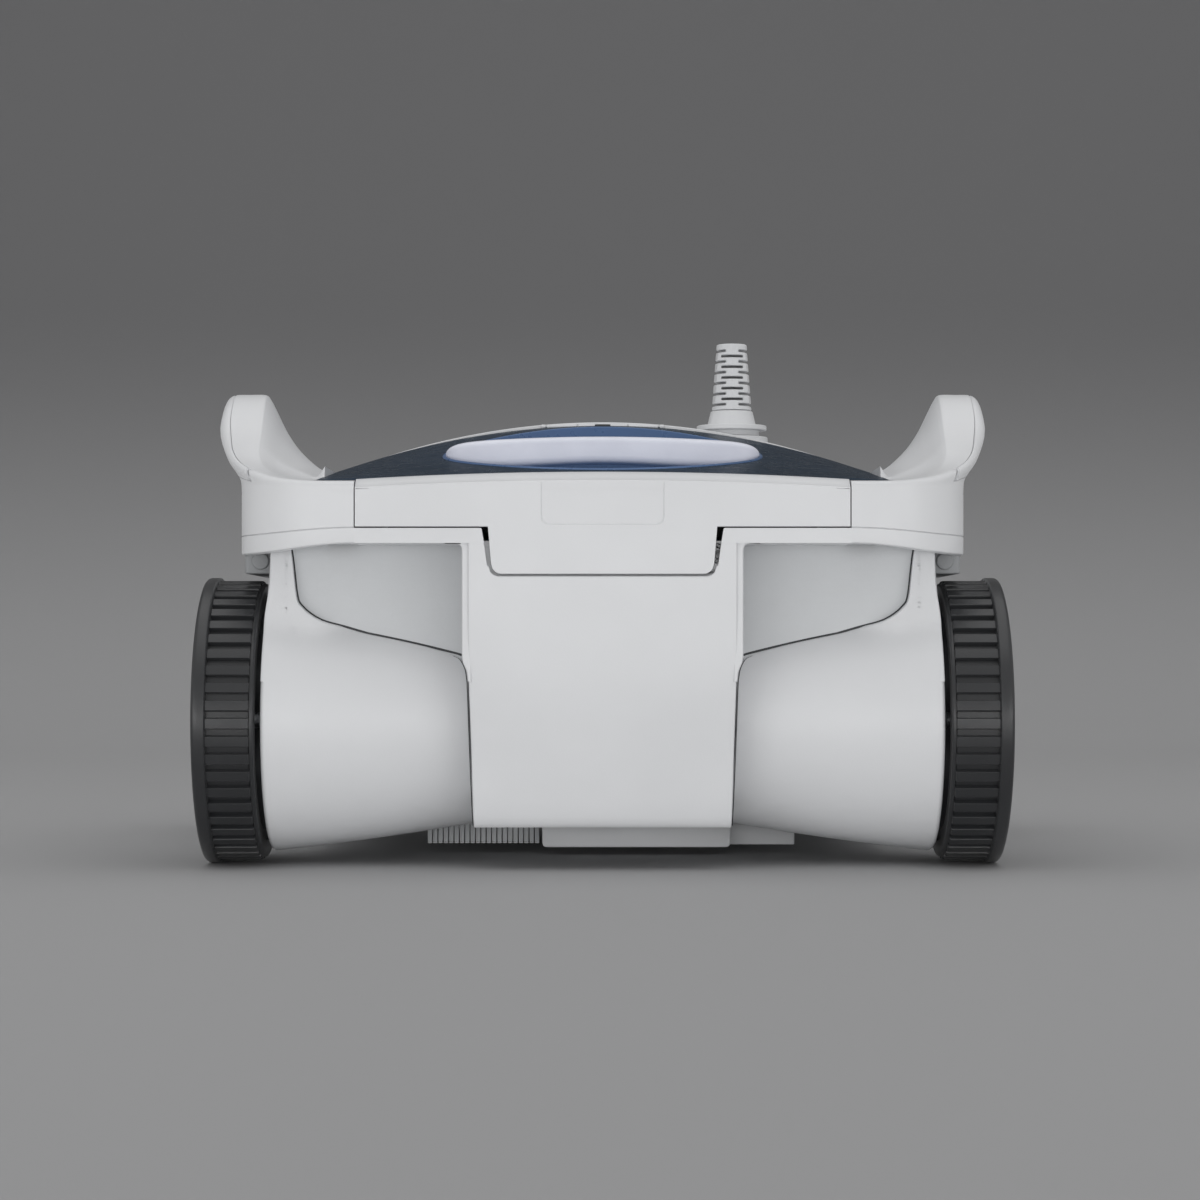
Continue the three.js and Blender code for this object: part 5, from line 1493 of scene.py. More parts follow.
@dataclass
class UpperFrame:
    """White frame round the top, whose sides rise into fins with a separate outer skin."""

    corner: float = 46.0
    seam_z: float = 164.4  # joint between the rim and the upper part
    seam_width: float = 0.5
    band_half: float = 118.3  # the lid's band fills the front between these
    draw_in: float = 3.4  # by which the frame is slimmer than its envelope
    lean: float = 13.6  # of the fins, outward
    inner_reach: float = 40.5  # from the frame's side to the fin's inner foot
    droop: float = 4.6  # fall of the rim from the band to the sides
    skin_depth: float = 1.3
    skin_gap: float = 0.3
    bar_start: Pair = (56.4, 57.6)  # inner ends of the rim's halves, at its foot and top
    rail_x: Pair = (160.0, 175.7)
    rail_end: float = 158.0
    outer_fin: Tuple[Pair, ...] = ((-0.03, -0.2), (0.0, -0.06), (0.04, 0.06), (0.17, 0.2),
                                   (0.42, 0.36), (0.76, 0.56), (0.97, 0.76), (0.98, 0.88),
                                   (0.84, 0.965), (0.6, 0.997), (0.1, 1.0))
    inner_fin: Tuple[Pair, ...] = ((0.155, 0.998), (0.21, 0.955), (0.285, 0.83), (0.4, 0.63),
                                   (0.55, 0.44), (0.74, 0.28), (0.88, 0.2), (1.0, 0.17))
    skin_from: int = 3  # outer_fin rows between which the skin lies
    skin_to: int = 9
    skin_front: float = -184.0  # where the skin ends on the front corner
    skin_share: float = 0.975  # of the height between those rows
    per_span: int = 5

    def __post_init__(self) -> None:
        """Reads the frame's size from its CAD nodes."""
        low, high = limits("upper_frame")
        self.rail_bottom, self.peak = low[2], high[2]
        self.half_y = high[1]
        self.half_x = limits("fin_skin_right")[1][0] - self.lean - self.draw_in
        self.bottom = limits("front_panel")[1][2] + 0.3
        self.top = self.bottom + 30.0
        self.rise = self.peak - self.top

    def path(self) -> Tuple[Array, Array]:
        """Half outline of the frame from the lid's band round the right side to the rear middle.

        Returns:
            Points of the outline and their outward unit normals.
        """
        x, y, r = self.half_x - self.corner, self.half_y - self.corner, self.corner
        turn = np.linspace(0, math.pi / 2, 25)
        front = np.stack([np.linspace(self.band_half, x, 5)[:-1], np.full(4, -self.half_y)], axis=1)
        bend = np.stack([x + r * np.sin(turn), -y - r * np.cos(turn)], axis=1)
        side = np.stack([np.full(63, self.half_x), np.linspace(-y, y, 65)[1:-1]], axis=1)
        back = np.stack([np.linspace(x, 0, 12)[1:], np.full(11, self.half_y)], axis=1)
        points = np.concatenate([front, bend, side, bend[::-1] * [1, -1], back])
        ahead = np.stack([np.sin(turn), -np.cos(turn)], axis=1)
        normals = np.concatenate([
            np.tile([0.0, -1.0], (4, 1)), ahead, np.tile([1.0, 0.0], (63, 1)),
            ahead[::-1] * [1, -1], np.tile([0.0, 1.0], (11, 1))])
        return points, normals

    def height_share(self, y: Array) -> Array:
        """Share of the fins' full height at Y: a steep front, a level top and a long rear.

        Args:
            y: Places from front to rear.

        Returns:
            The share at each.
        """
        front = [(-205, 0.0), (-201, 0.02), (-192, 0.075), (-178, 0.19), (-165, 0.34),
                 (-150, 0.54), (-136, 0.78), (-126, 0.92), (-118, 0.985), (-110, 1.0), (-103, 0.985)]
        rear = [(-95, 0.94), (-80, 0.81), (-66, 0.66), (-49, 0.52), (-25, 0.42), (0, 0.36),
                (70, 0.22), (128, 0.1), (165, 0.04), (186, 0.01), (196, 0.0), (205, 0.0)]
        curve = flowing(front + rear, 6)
        return np.clip(np.interp(y, curve[:, 0], curve[:, 1]), 0, 1)

    def sections(self, points: Array) -> Tuple[Array, Array]:
        """Fin curves for every place on the path, as (outward, height) rows.

        The outer rows are lean times a share outward, the inner rows a share of the way to the
        inner foot, and both rise by their share of the fin's height there.

        Args:
            points: Places on the outline.

        Returns:
            Flowing curves, and the distance of the inner foot from the outline.
        """
        share = self.height_share(points[:, 1])[:, None]
        lean = self.lean * smooth_step(share * 1.15 + 0.1)
        bend = np.clip((points[:, 0] - (self.half_x - self.corner)) / self.corner, 0, 1)
        foot = np.where(bend > 0.02, self.corner - 5.5 / np.maximum(bend, 0.02), 9.0)
        cosine = np.sqrt(np.clip(1 - bend ** 2, 0.03, 1))
        foot = np.clip(foot, np.minimum(9.0 / cosine, self.inner_reach), self.inner_reach)[:, None]
        (out, up), (into, inner_up) = np.array(self.outer_fin).T, np.array(self.inner_fin).T
        flat = np.linspace(0, 1, len(out))
        round_off = 4.0 * (1 - smooth_step(share * 4))
        outer_x = lean * out - round_off * edge_fall(1 - flat, 1.0)
        outer_z = self.top + self.rise * np.where(up > 0, share, 1.0) * up \
            - round_off * (1 - flat) * (up > 0)
        inner_x = -foot * into - 1.2 * (1 - share) * (into < 1)
        inner_z = self.top + self.rise * share * inner_up
        inner_z[:, -1:] = self.top + self.rise * 0.19 * smooth_step(share * 2.5)
        control = np.stack([np.concatenate([outer_x, inner_x], axis=1),
                            np.concatenate([outer_z, inner_z], axis=1)], axis=-1)
        return flow_rows(control, self.per_span), foot

    def placed(self, rows: Array, points: Array, normals: Array) -> Array:
        """Carries (outward, height) rows to their places on the outline."""
        flat = points[:, None, :] + normals[:, None, :] * rows[..., :1]
        return np.concatenate([flat, rows[..., 1:]], axis=2)

    def inward(self, rows: Array, depth: Array) -> Array:
        """Moves curve points towards the inside of the fin by a depth.

        Args:
            rows: Points of (outward, height).
            depth: Depth at each point.

        Returns:
            The moved points.
        """
        tangent = np.gradient(rows, axis=1)
        normal = np.stack([tangent[..., 1], -tangent[..., 0]], axis=-1)
        length = np.maximum(np.linalg.norm(normal, axis=-1, keepdims=True), 1e-9)
        return rows - normal / length * depth[..., None]

    @staticmethod
    def columns(pairs: Sequence[Tuple[object, object]], count: int) -> Array:
        """Section rows for each place from (outward, height) pairs of numbers or columns."""
        return np.stack([np.concatenate([np.broadcast_to(pair[k], (count, 1)) for pair in pairs],
                                        axis=1) for k in (0, 1)], axis=-1)

    def body(self) -> Surface:
        """Frame and fins as one loft of closed sections along the whole outline.

        A section runs from the inner bottom over the rim, the joint, the fin's outer and inner
        faces and back down inside. Where the skin lies, the fin's surface is set back.

        Returns:
            The surface.
        """
        points, normals = self.path()
        fin, foot = self.sections(points)
        start, stop = self.skin_from * self.per_span, self.skin_to * self.per_span
        covered = (points[:, 1] > self.skin_front) & (self.height_share(points[:, 1]) > 0.03)
        lead = np.zeros((len(points), fin.shape[1]))
        lead[covered, start:stop + 1] = self.skin_depth + self.skin_gap
        sunk = self.inward(fin, lead)
        cored = np.concatenate([fin[:, :start + 1], sunk[:, start:stop + 1], fin[:, stop:]], axis=1)
        z0, seam, w = self.bottom, self.seam_z, self.seam_width / 2
        reach = np.minimum(foot + 12, 44.0)
        droop = self.droop * smooth_step((points[:, :1] - self.band_half) / 56)
        low, mid = z0 - droop, seam - 0.66 * droop
        base = [(-reach, z0), (-7.6, z0), (-7.0, z0 - 0.5 * droop), (-6.4, low), (-1.2, low),
                (-0.5, low + 0.15), (-0.15, low + 0.5), (0, low + 1.2), (0, mid - w - 0.25),
                (-0.15, mid - w), (-0.8, mid - w * 0.6), (-0.8, mid + w * 0.6),
                (-0.15, mid + w), (0, mid + w + 0.25), (0, seam + 6), (0, self.top - 5.2)]
        shelf = self.top - 0.4
        tail = [(-foot - 0.01, shelf + 0.3), (-foot - 0.3, shelf), (-reach, shelf), (-reach, z0 + 8)]
        count = len(points)
        rows = np.concatenate([self.columns(base, count), cored, self.columns(tail, count)], axis=1)
        right = self.placed(rows, points, normals)
        left = right[::-1][1:] * np.array([-1.0, 1.0, 1.0])
        return Surface.loft(np.concatenate([right, left]))

    def skin(self) -> Surface:
        """Outer skin of the right fin: the fin's own curve, one wall thick, with a soft rim.

        Returns:
            The surface.
        """
        points, normals = self.path()
        kept = (points[:, 1] > self.skin_front + 0.5) & (self.height_share(points[:, 1]) > 0.035)
        points, normals = points[kept], normals[kept]
        fin, _ = self.sections(points)
        start, stop = self.skin_from * self.per_span, self.skin_to * self.per_span
        face = fin[:, start:stop + 1]
        span = np.linspace(0, 1, face.shape[1])
        index = (0.5 + (span - 0.5) * self.skin_share) * (len(span) - 1)
        base = np.floor(index).astype(int).clip(0, len(span) - 2)
        part = (index - base)[None, :, None]
        face = face[:, base] * (1 - part) + face[:, base + 1] * part
        fall = edge_fall(np.minimum(span, 1 - span) * 30, 0.5)
        front = self.inward(face, np.broadcast_to(fall, face.shape[:2]))
        back = self.inward(face, np.full(face.shape[:2], self.skin_depth))
        ring = np.concatenate([front, back[:, ::-1]], axis=1)
        return Surface.loft(self.placed(ring, points, normals))

    def front_bars(self) -> Surface:
        """Rim under the lid's band, in two halves beside the tongue's notch.

        Returns:
            Both halves.
        """
        z1, (foot, top) = self.seam_z - self.seam_width / 2, self.bar_start
        outline = rounded([(foot, self.bottom), (self.band_half, self.bottom),
                           (self.band_half, z1), (top, z1)], [0, 0, 0, 0.6], 3)
        return Surface.prism(outline[:, ::-1], "y", (-self.half_y, 38 - self.half_y), 0.0).paired()

    def rails(self) -> Surface:
        """Rails under the frame above the wheels, each with a round boss at both ends.

        Returns:
            Both rails.
        """
        (x0, x1), end = self.rail_x, self.rail_end
        rail = Surface.block((x0, -end, self.rail_bottom), (x1, end, self.bottom + 0.5), 0.8, 2.5)
        boss = rounded([(end - 2, 0.02), (end + 1.2, 0.02), (end + 1.2, 4.2), (end - 2, 4.6)],
                       [0, 0, 0.9, 0], 4)
        knob = Surface.turned(boss, "x", (0, 0, 0), 40)
        knob = Surface(knob.points[:, [1, 0, 2]], knob.faces)
        knob = knob.moved(((x0 + x1) / 2, 0, self.rail_bottom + 6.2))
        return Surface.joined([rail, knob, knob.mirrored(y=-1)]).paired()

    def dress(self, finish: Finishes) -> None:
        """Makes the frame and the two fin skins.

        Args:
            finish: The shared finishes.
        """
        whole = Surface.joined([self.body(), self.front_bars()])
        # the rails take the white shell painted grey, as painted shade
        make_piece("frame_rails", self.rails(), finish.rail, "chassis", ["upper_frame"])
        make_piece("upper_frame_shell", whole, finish.shell, "chassis", ["upper_frame"], 30.0)
        skin = self.skin()
        for side in Side:
            make_piece(f"fin_cover_{side.word}", skin.mirrored(x=side.value), finish.shell,
                       "chassis", [f"fin_skin_{side.word}"], 30.0)


# --- Domed top: window, lid frame, carry handle and rear deck ---


@dataclass
class Dome:
    """Form of the domed top, which the window, the lid frame and the deck share."""

    edge_z: float = 190.0
    ridge_drop: float = 26.0  # fall of the ridge from the middle to the side
    bulge: float = 0.06
    front_drop: float = 3.2  # fall of the front edge towards the sides
    top_crown: float = 229.0  # of the deck, above which nothing rises
    ridge_y: float = -11.5
    hinge_z: float = 226.2
    hinge_gap: float = 0.15  # from the hinge's line to the ridge

    def __post_init__(self) -> None:
        """Reads the outline of the top from the window and the deck."""
        low, high = limits("lid_window")
        self.half, self.front = high[0], low[1]
        self.back = limits("rear_deck")[1][1]
        self.hinge = (0.0, self.ridge_y - self.hinge_gap, self.hinge_z)

    def height(self, x: Array, y: Array, crown: float) -> Array:
        """Height of the top: from the edge up to an arched ridge, a little bulged.

        The share s of the way up gives edge + (ridge - edge) (s + b s (1 - s)), and the ridge
        is the crown less its drop times (x / half)^2.

        Args:
            x: Places across.
            y: Places from front to rear.
            crown: Height of the ridge in the middle.

        Returns:
            The height at each place.
        """
        ridge = crown - (self.ridge_drop - 1.2 * (self.top_crown - crown)) * (x / self.half) ** 2
        run = np.where(y < self.ridge_y, (y - self.front) / (self.ridge_y - self.front),
                       (self.back - y) / (self.back - self.ridge_y))
        edge = self.edge_z + 0.6 - self.front_drop * (x / self.half) ** 2 * (y < self.ridge_y)
        return edge + (ridge - edge) * (run + self.bulge * run * (1 - run))

    def slab(self, x_span: Pair, y_span: Pair, crown: float, depth: float, thickness: float,
             steps: Tuple[int, int] = (24, 24)) -> Surface:
        """Plate that follows the dome at a depth below it.

        Args:
            x_span: Ends across.
            y_span: Ends from front to rear.
            crown: Height of the ridge in the middle.
            depth: Drop below the dome.
            thickness: Thickness of the plate.
            steps: Evenly spread places across and along.

        Returns:
            The plate.
        """
        x = near_edges(x_span[0], x_span[1], 0.7, steps[0])[None, :]
        y = near_edges(y_span[0], y_span[1], 0.7, steps[1])[:, None]
        top = self.height(x, y, crown) - depth
        border = np.minimum(np.minimum(x - x_span[0], x_span[1] - x),
                            np.minimum(y - y_span[0], y_span[1] - y))
        x, y = np.broadcast_to(x, top.shape), np.broadcast_to(y, top.shape)
        upper = np.stack([x, y, top - edge_fall(border, 0.7)], axis=-1)
        lower = np.stack([x, y, top - thickness], axis=-1)
        return Surface.loft(np.concatenate([upper, lower[:, ::-1]], axis=1))

    def holed_plate(self, centre: Pair, hole: float, y_span: Pair, crown: float,
                    thickness: float) -> Surface:
        """Plate of the dome with a round hole, on rays from the hole to the plate's outline.

        Args:
            centre: Middle of the hole.
            hole: Radius of the hole.
            y_span: Ends from front to rear.
            crown: Height of the ridge in the middle.
            thickness: Thickness of the plate.

        Returns:
            The plate.
        """
        corners = [math.atan2(y - centre[1], x) for x in (-self.half, self.half) for y in y_span]
        angle = np.unique(np.concatenate([np.linspace(-math.pi, math.pi, 289)[:-1], corners]))
        c, s = np.cos(angle), np.sin(angle)
        ends = np.abs(np.where(s > 0, y_span[1] - centre[1], y_span[0] - centre[1]))
        reach = np.minimum(self.half / np.maximum(np.abs(c), 1e-9), ends / np.maximum(np.abs(s), 1e-9))
        share = np.concatenate([[0, 0.004, 0.012], np.linspace(0.04, 0.96, 22), [0.985, 1.0]])
        r = hole + (reach[None, :] - hole) * share[:, None]
        x, y = centre[0] + r * c, centre[1] + r * s
        top = self.height(x, y, crown)
        fall = edge_fall(r - hole, 0.6) + edge_fall(reach[None, :] - r, 0.6)
        upper = np.stack([x, y, top - fall], axis=-1)
        lower = np.stack([x, y, top - thickness], axis=-1)
        return Surface.grid(np.concatenate([upper, lower[::-1]]), wrap_rows=True, wrap_columns=True)

    def sleeve(self, low: float, high: float) -> Surface:
        """Sleeve round the hinge's rod from one X to another, with a soft rim at both ends."""
        ring = np.array([(low + 0.2, 0.6), (low, 1.0), (low + 0.2, 1.2), (high - 0.2, 1.2),
                         (high, 1.0), (high - 0.2, 0.6)])
        return Surface.turned(ring, "x", self.hinge, 32)


@dataclass
class Lid:
    """Hinged lid: tinted window with a dish, carry handle, and the white frame round it."""

    dome: Dome = field(default_factory=Dome)
    crown: float = 226.9
    pane_hole: float = 80.9  # radius of the pane's hole, under the dish's rim bead
    dish_y: float = -103.3
    dish_floor: float = 181.0
    band_half: float = 117.8
    band_top: Pair = (191.4, 187.4)  # in the middle and at the sides
    band_rise: float = 5.2  # of the rounded top edge
    band_back: float = -190.0  # where the band ends under the window
    tongue_half: Pair = (53.0, 54.5)
    tongue_corner: float = 5.0
    pad_half: float = 29.2
    pad_z: Pair = (165.9, 186.0)
    pad_corner: float = 4.0
    pad_depth: float = 0.7
    handle_half: float = 79.6
    handle_z: Pair = (200.6, 214.1)
    handle_width: float = 24.0
    knuckle_x: float = 22.0
    knuckle_half: float = 8.0

    def __post_init__(self) -> None:
        """Reads the band's place from the lid frame's CAD node."""
        low, _ = limits("lid_frame")
        self.front, self.foot = low[1], low[2]
        self.band_foot = limits("front_panel")[1][2] + 8.1

    def dish(self) -> Surface:
        """Dish under the handle: a rim bead, an upright wall, a soft corner and a flat floor.

        Returns:
            The surface.
        """
        profile = [(2.0, None, 0.0), (71, None, 0.0), (75.4, None, 0.5), (77.8, None, 2.2),
                   (78.9, None, 5.0), (79.3, -1.2, 0), (79.6, 0.35, 0), (80.1, 0.7, 0),
                   (80.9, 0.65, 0), (81.3, 0.15, 0), (81.3, -3.4, 0), (80.9, None, 3.0),
                   (79.4, None, 0.0), (76.5, None, -2.0), (70, None, -2.4), (2.0, None, -2.4)]
        angle = np.arange(192) * (2 * math.pi / 192)
        rings = []
        for radius, below, lift in profile:
            x, y = radius * np.cos(angle), self.dish_y + radius * np.sin(angle)
            rim = self.dome.height(x, y, self.crown)
            z = np.full_like(x, self.dish_floor + lift) if below is None else rim + below
            rings.append(np.stack([x, y, z], axis=-1))
        return Surface.loft(np.array(rings))

    def handle(self) -> Surface:
        """Carry bar: a bowed bar of squarish section with blunt ends, and a lug at each end.

        Returns:
            The surface.
        """
        turn = np.linspace(-math.pi / 2, math.pi / 2, 101)
        along = np.sin(turn)
        along = np.sign(along) * np.abs(along) ** 0.8
        size = np.abs(along)
        end = np.sqrt(np.clip(1 - size ** 13, 0, 1)) * 0.96 + 0.04
        low = self.handle_z[0] - 2.3 * smooth_step(size / 0.75)
        high = self.handle_z[1] - 3.4 * along ** 2
        middle, half = (low + high) / 2 + 0.4 * size ** 8, (high - low) / 2 * end
        wide = self.handle_width / 2 * (0.25 + 0.75 * end)
        a = np.arange(40) * (2 * math.pi / 40)
        c, s = np.cos(a), np.sin(a)
        c, s = np.sign(c) * np.abs(c) ** 0.32, np.sign(s) * np.abs(s) ** 0.42
        rings = np.stack([np.broadcast_to((along * self.handle_half)[:, None], (101, 40)),
                          self.dish_y + wide[:, None] * c, middle[:, None] + half[:, None] * s], axis=-1)
        return Surface.loft(rings)

    def lower_edge(self, x: Array) -> Array:
        """Lower edge of the band at X: the tongue's foot with round corners, then the band's.

        Args:
            x: Places across.

        Returns:
            The height at each.
        """
        low, high = self.tongue_half
        size = np.abs(x)
        corner = np.clip(size - (low - self.tongue_corner), 0, self.tongue_corner)
        foot = self.foot + self.tongue_corner - np.sqrt(self.tongue_corner ** 2 - corner ** 2)
        side = self.foot + self.tongue_corner \
            + (size - low) / (high - low) * (self.band_foot - self.foot - self.tongue_corner)
        return np.minimum(np.where(size < low, foot, side), self.band_foot)

    def band(self) -> Surface:
        """Front band with its tongue, crowned top and the shallow bare pad.

        The top edge is a quarter ellipse from the face to the window; the pad is pressed in
        by its depth times soft steps at its rounded border.

        Returns:
            The surface.
        """
        low, high = self.tongue_half
        pad_steps = np.array([-4.2, -3.4, -2.4, -1.2, -0.5, -0.2, 0, 0.2, 0.5, 1])
        near = np.concatenate([np.linspace(low - 5, low, 8), np.linspace(low, high, 12),
                               self.pad_half + pad_steps])
        across = near_edges(-self.band_half, self.band_half, 0.6, 40)
        x = np.unique(np.round(np.concatenate([across, near, -near]), 4))[:, None]
        foot, pad_foot = self.lower_edge(x), self.pad_z[0]
        crown = self.band_top[1] + (self.band_top[0] - self.band_top[1]) * (1 - (x / 125) ** 2)
        share = np.concatenate([[0, 0.01, 0.03, 0.06], np.linspace(0.1, 1, 9)])
        z_low = foot + (pad_foot - 0.7 - foot) * share
        z_high = pad_foot + np.array([-0.6, -0.3, -0.1, 0.1, 0.3, 0.7, 1.3, 2.2, 3.2, 4.2, 6, 9, 13, 17])
        z = np.concatenate([z_low, np.broadcast_to(z_high, (len(x), len(z_high)))], axis=1)
        dx = np.abs(x) - (self.pad_half - self.pad_corner)
        dz = pad_foot + self.pad_corner - z
        outer = np.hypot(np.clip(dx, 0, None), np.clip(dz, 0, None)) - self.pad_corner
        pressed = self.pad_depth * smooth_step(0.5 - outer / 0.5) * (z < self.pad_z[1])
        pressed *= 1 - smooth_step((z - self.pad_z[1] + 2.4) / 2.4)
        fall = edge_fall(z - foot, 0.4) + edge_fall(self.band_half - np.abs(x), 0.3)
        turn = np.linspace(0, math.pi / 2, 6)
        round_y = np.concatenate([0.8 * (1 - np.cos(turn)), [3.2, 5.6, 7.8, 9.2]])
        round_z = np.concatenate([0.9 * np.sin(turn), [2.5, 3.8, 4.8, self.band_rise]])
        ends = np.concatenate([self.front + round_y, [self.band_back] * 2, [self.front + 5] * 2])
        y = np.concatenate([self.front + pressed + fall,
                            np.broadcast_to(ends, (len(x), len(ends)))], axis=1)
        z = np.concatenate([z, crown - self.band_rise + round_z, crown - 0.8, crown - 9,
                            crown - 9, foot], axis=1)
        return Surface.loft(np.stack([np.broadcast_to(x, y.shape), y, z], axis=-1))

    def rails(self) -> Surface:
        """Side rails and the rear bar under the window, and the shelf behind the band.

        Returns:
            The surface.
        """
        outer, back = self.band_half + 0.9, self.dome.ridge_y - 0.3
        side = self.dome.slab((outer - 7, outer), (-193.5, back), self.crown, 4.6, 8.0, (4, 30))
        bar = self.dome.slab((7 - outer, outer - 7), (back - 7, back), self.crown, 4.6, 8.0, (40, 4))
        shelf = Surface.block((1 - outer, -194, 180.5), (outer - 1, -190.5, 186.0), 0.5, 1.0)
        return Surface.joined([side.paired(), bar, shelf])

    def knuckles(self) -> Surface:
        """Two slim hinge knuckles with their arms at the window's rear edge.

        Returns:
            The surface.
        """
        parts = []
        for side in Side:
            middle = side.value * self.knuckle_x
            low, high = middle - self.knuckle_half, middle + self.knuckle_half
            parts.append(self.dome.sleeve(low, high))
            parts.append(Surface.block((low, -17.2, 221.5), (high, -12.2, 224.8), 0.4, 0.8))
        return Surface.joined(parts)

    def dress(self, finish: Finishes) -> None:
        """Makes the lid's pieces.

        Args:
            finish: The shared finishes.
        """
        span = (self.dome.front, self.dome.ridge_y - 0.3)
        pane = self.dome.holed_plate((0.0, self.dish_y), self.pane_hole, span, self.crown, 3.0)
        make_piece("lid_window_pane", pane, finish.window, "lid", ["lid_window"])
        # the dish wall takes the window plastic painted paler blue, as painted light
        make_piece("lid_window_dish", self.dish(), finish.dish, "lid", ["lid_window"])
        make_piece("lid_carry_handle", self.handle(), finish.handle, "lid", ["lid_handle"], 50.0)
        frame = Surface.joined([self.band(), self.rails()])
        make_piece("lid_frame_shell", frame, finish.shell, "lid", ["lid_frame"], 30.0)
        make_piece("lid_knuckles", self.knuckles(), finish.shell, "lid", ["lid_frame"])
        clip = Surface.block((-4.2, -15.5, 224.0), (4.2, -12.6, 227.3), 0.4, 0.8)
        make_piece("lid_clip", clip, finish.dark, "lid", ["lid_frame"])


@dataclass
class Deck:
    """White rear deck with its arched ridge, the outlet's opening and the cable's seat."""

    dome: Dome = field(default_factory=Dome)
    crown: float = 229.0
    pump_y: float = 75.0
    seat_at: Pair = (71.6, 35.0)
    seat_top: float = 219.7
    seat_radius: float = 23.0
    lugs: Tuple[Pair, ...] = ((-33.0, -30.8), (-13.2, 13.2), (30.8, 33.0))
    rod_end: float = 32.6

    def dress(self, finish: Finishes) -> None:
        """Makes the deck and its hinge lugs.

        Args:
            finish: The shared finishes.
        """
        dome, edge = self.dome, self.dome.ridge_y + 1.0
        hole = limits("outlet_duct")[1][0] + 0.4
        plate = dome.holed_plate((0.0, self.pump_y), hole, (edge, dome.back), self.crown, 3.0)
        rib = dome.slab((-dome.half, dome.half), (edge, edge + 3.0), self.crown, 3.0, 6.0, (60, 3))
        r, top = self.seat_radius, self.seat_top
        seat = np.array([(top - 12, 2), (top - 12, r), (top - 1.6, r), (top - 0.5, r - 0.5),
                         (top, r - 1.6), (top, 2)])
        pad = Surface.turned(seat, "z", (*self.seat_at, 0), 96)
        make_piece("rear_deck_shell", Surface.joined([plate, rib, pad]), finish.shell, "chassis",
                   ["rear_deck"], 30.0)
        lugs = Surface.joined([dome.sleeve(low, high) for low, high in self.lugs])
        make_piece("hinge_lugs", lugs, finish.shell, "chassis", ["rear_deck"])
        half = [(self.rod_end, 0.01), (self.rod_end, 0.4), (self.rod_end - 0.2, 0.55)]
        rod = np.array([(-x, r) for x, r in half] + half[::-1])
        make_piece("lid_hinge_rod", Surface.turned(rod, "x", dome.hinge, 24), finish.steel,
                   "chassis", ["lid_hinge_pin"])


# --- Underside ---


@dataclass
class Underside:
    """What shows under the body: the suction skirt with its side lip, and the comb."""

    pitch: float = 2.8
    tooth: float = 2.3
    tip: float = 0.9
    wall: float = 2.4  # thickness of the skirt
    left_reach: float = 1.2  # by which the skirt is wider on the left
    lip_reach: float = 34.0  # of the side lip beyond the skirt

    def __post_init__(self) -> None:
        """Reads both places from their CAD nodes."""
        self.skirt_low, self.skirt_high = limits("suction_skirt")
        self.comb_low, self.comb_high = limits("inlet_comb")

    def skirt(self) -> Surface:
        """Skirt round the intake, with rounded lower corners, and the lip beside it.

        Returns:
            The surface.
        """
        (x0, y0, z0), (x1, y1, z1) = self.skirt_low, self.skirt_high
        x0 -= self.left_reach
        plan = rounded([(x0, z1), (x0, z0), (x1, z0), (x1, z1)], [0, 2.6, 2.6, 0], 5)
        wall = self.wall
        box = Surface.prism(plan[:, ::-1], "y", (y0, y0 + wall), 0.5)
        rear = Surface.prism(plan[:, ::-1], "y", (y1 - wall, y1), 0.5)
        left = Surface.block((x0, y0 + 1, z0 + 2), (x0 + wall, y1 - 1, z1), 0.4, 0.4)
        right = Surface.block((x1 - wall, y0 + 1, z0 + 2), (x1, y1 - 1, z1), 0.4, 0.4)
        lip = Surface.block((x1 - 1, self.comb_low[1], z0 + 0.5),
                            (x1 + self.lip_reach, self.comb_high[1], z1), 0.5, 1.0)
        return Surface.joined([box, rear, left, right, lip])

    def teeth(self, low: float, high: float) -> Surface:
        """Row of teeth between two heights, at an even pitch along the comb.

        Args:
            low: Foot of the teeth.
            high: Their top.

        Returns:
            The surface.
        """
        x = np.arange(self.comb_low[0] + 0.6, self.comb_high[0] - self.tooth, self.pitch)
        middle = (self.comb_low[1] + self.comb_high[1]) / 2
        tooth = Surface.block((0, middle - 1.1, low), (self.tooth, middle + 1.1, high), 0.3, 0.4)
        return Surface.joined([tooth.moved((float(at), 0, 0)) for at in x])

    def dress(self, finish: Finishes) -> None:
        """Makes the skirt, the comb and the tips of its teeth.

        Args:
            finish: The shared finishes.
        """
        make_piece("suction_skirt_shell", self.skirt(), finish.shell, "chassis", ["suction_skirt"])
        bottom, top = self.comb_low[2], self.comb_high[2]
        spine = Surface.block((self.comb_low[0], self.comb_low[1], top - 3.2),
                              (self.comb_high[0], self.comb_high[1], top), 0.4, 0.8)
        comb = Surface.joined([spine, self.teeth(bottom + self.tip + 0.05, top - 3.0)])
        # the comb's body takes the white shell painted darker, as painted shade; the tips keep the shell's own white
        make_piece("intake_comb", comb, finish.recess, "chassis", ["inlet_comb"])
        make_piece("intake_comb_tips", self.teeth(bottom, bottom + self.tip), finish.shell,
                   "chassis", ["inlet_comb"])


# --- Stage ---


@dataclass(frozen=True)
class Lamp:
    """Soft rectangular lamp that points at a target, in metres and watts."""

    name: str
    place: Tuple[float, float, float]
    target: Tuple[float, float, float]
    size: Pair
    power: float

    def hang(self) -> None:
        """Adds the lamp to the scene."""
        light = bpy.data.lights.new(self.name, "AREA")
        light.shape, light.energy = "RECTANGLE", self.power
        light.size, light.size_y = self.size
        lamp = bpy.data.objects.new(self.name, light)
        aim = Vector(self.target) - Vector(self.place)
        lamp.location = self.place
        lamp.rotation_euler = aim.to_track_quat("-Z", "Y").to_euler()
        bpy.context.scene.collection.objects.link(lamp)


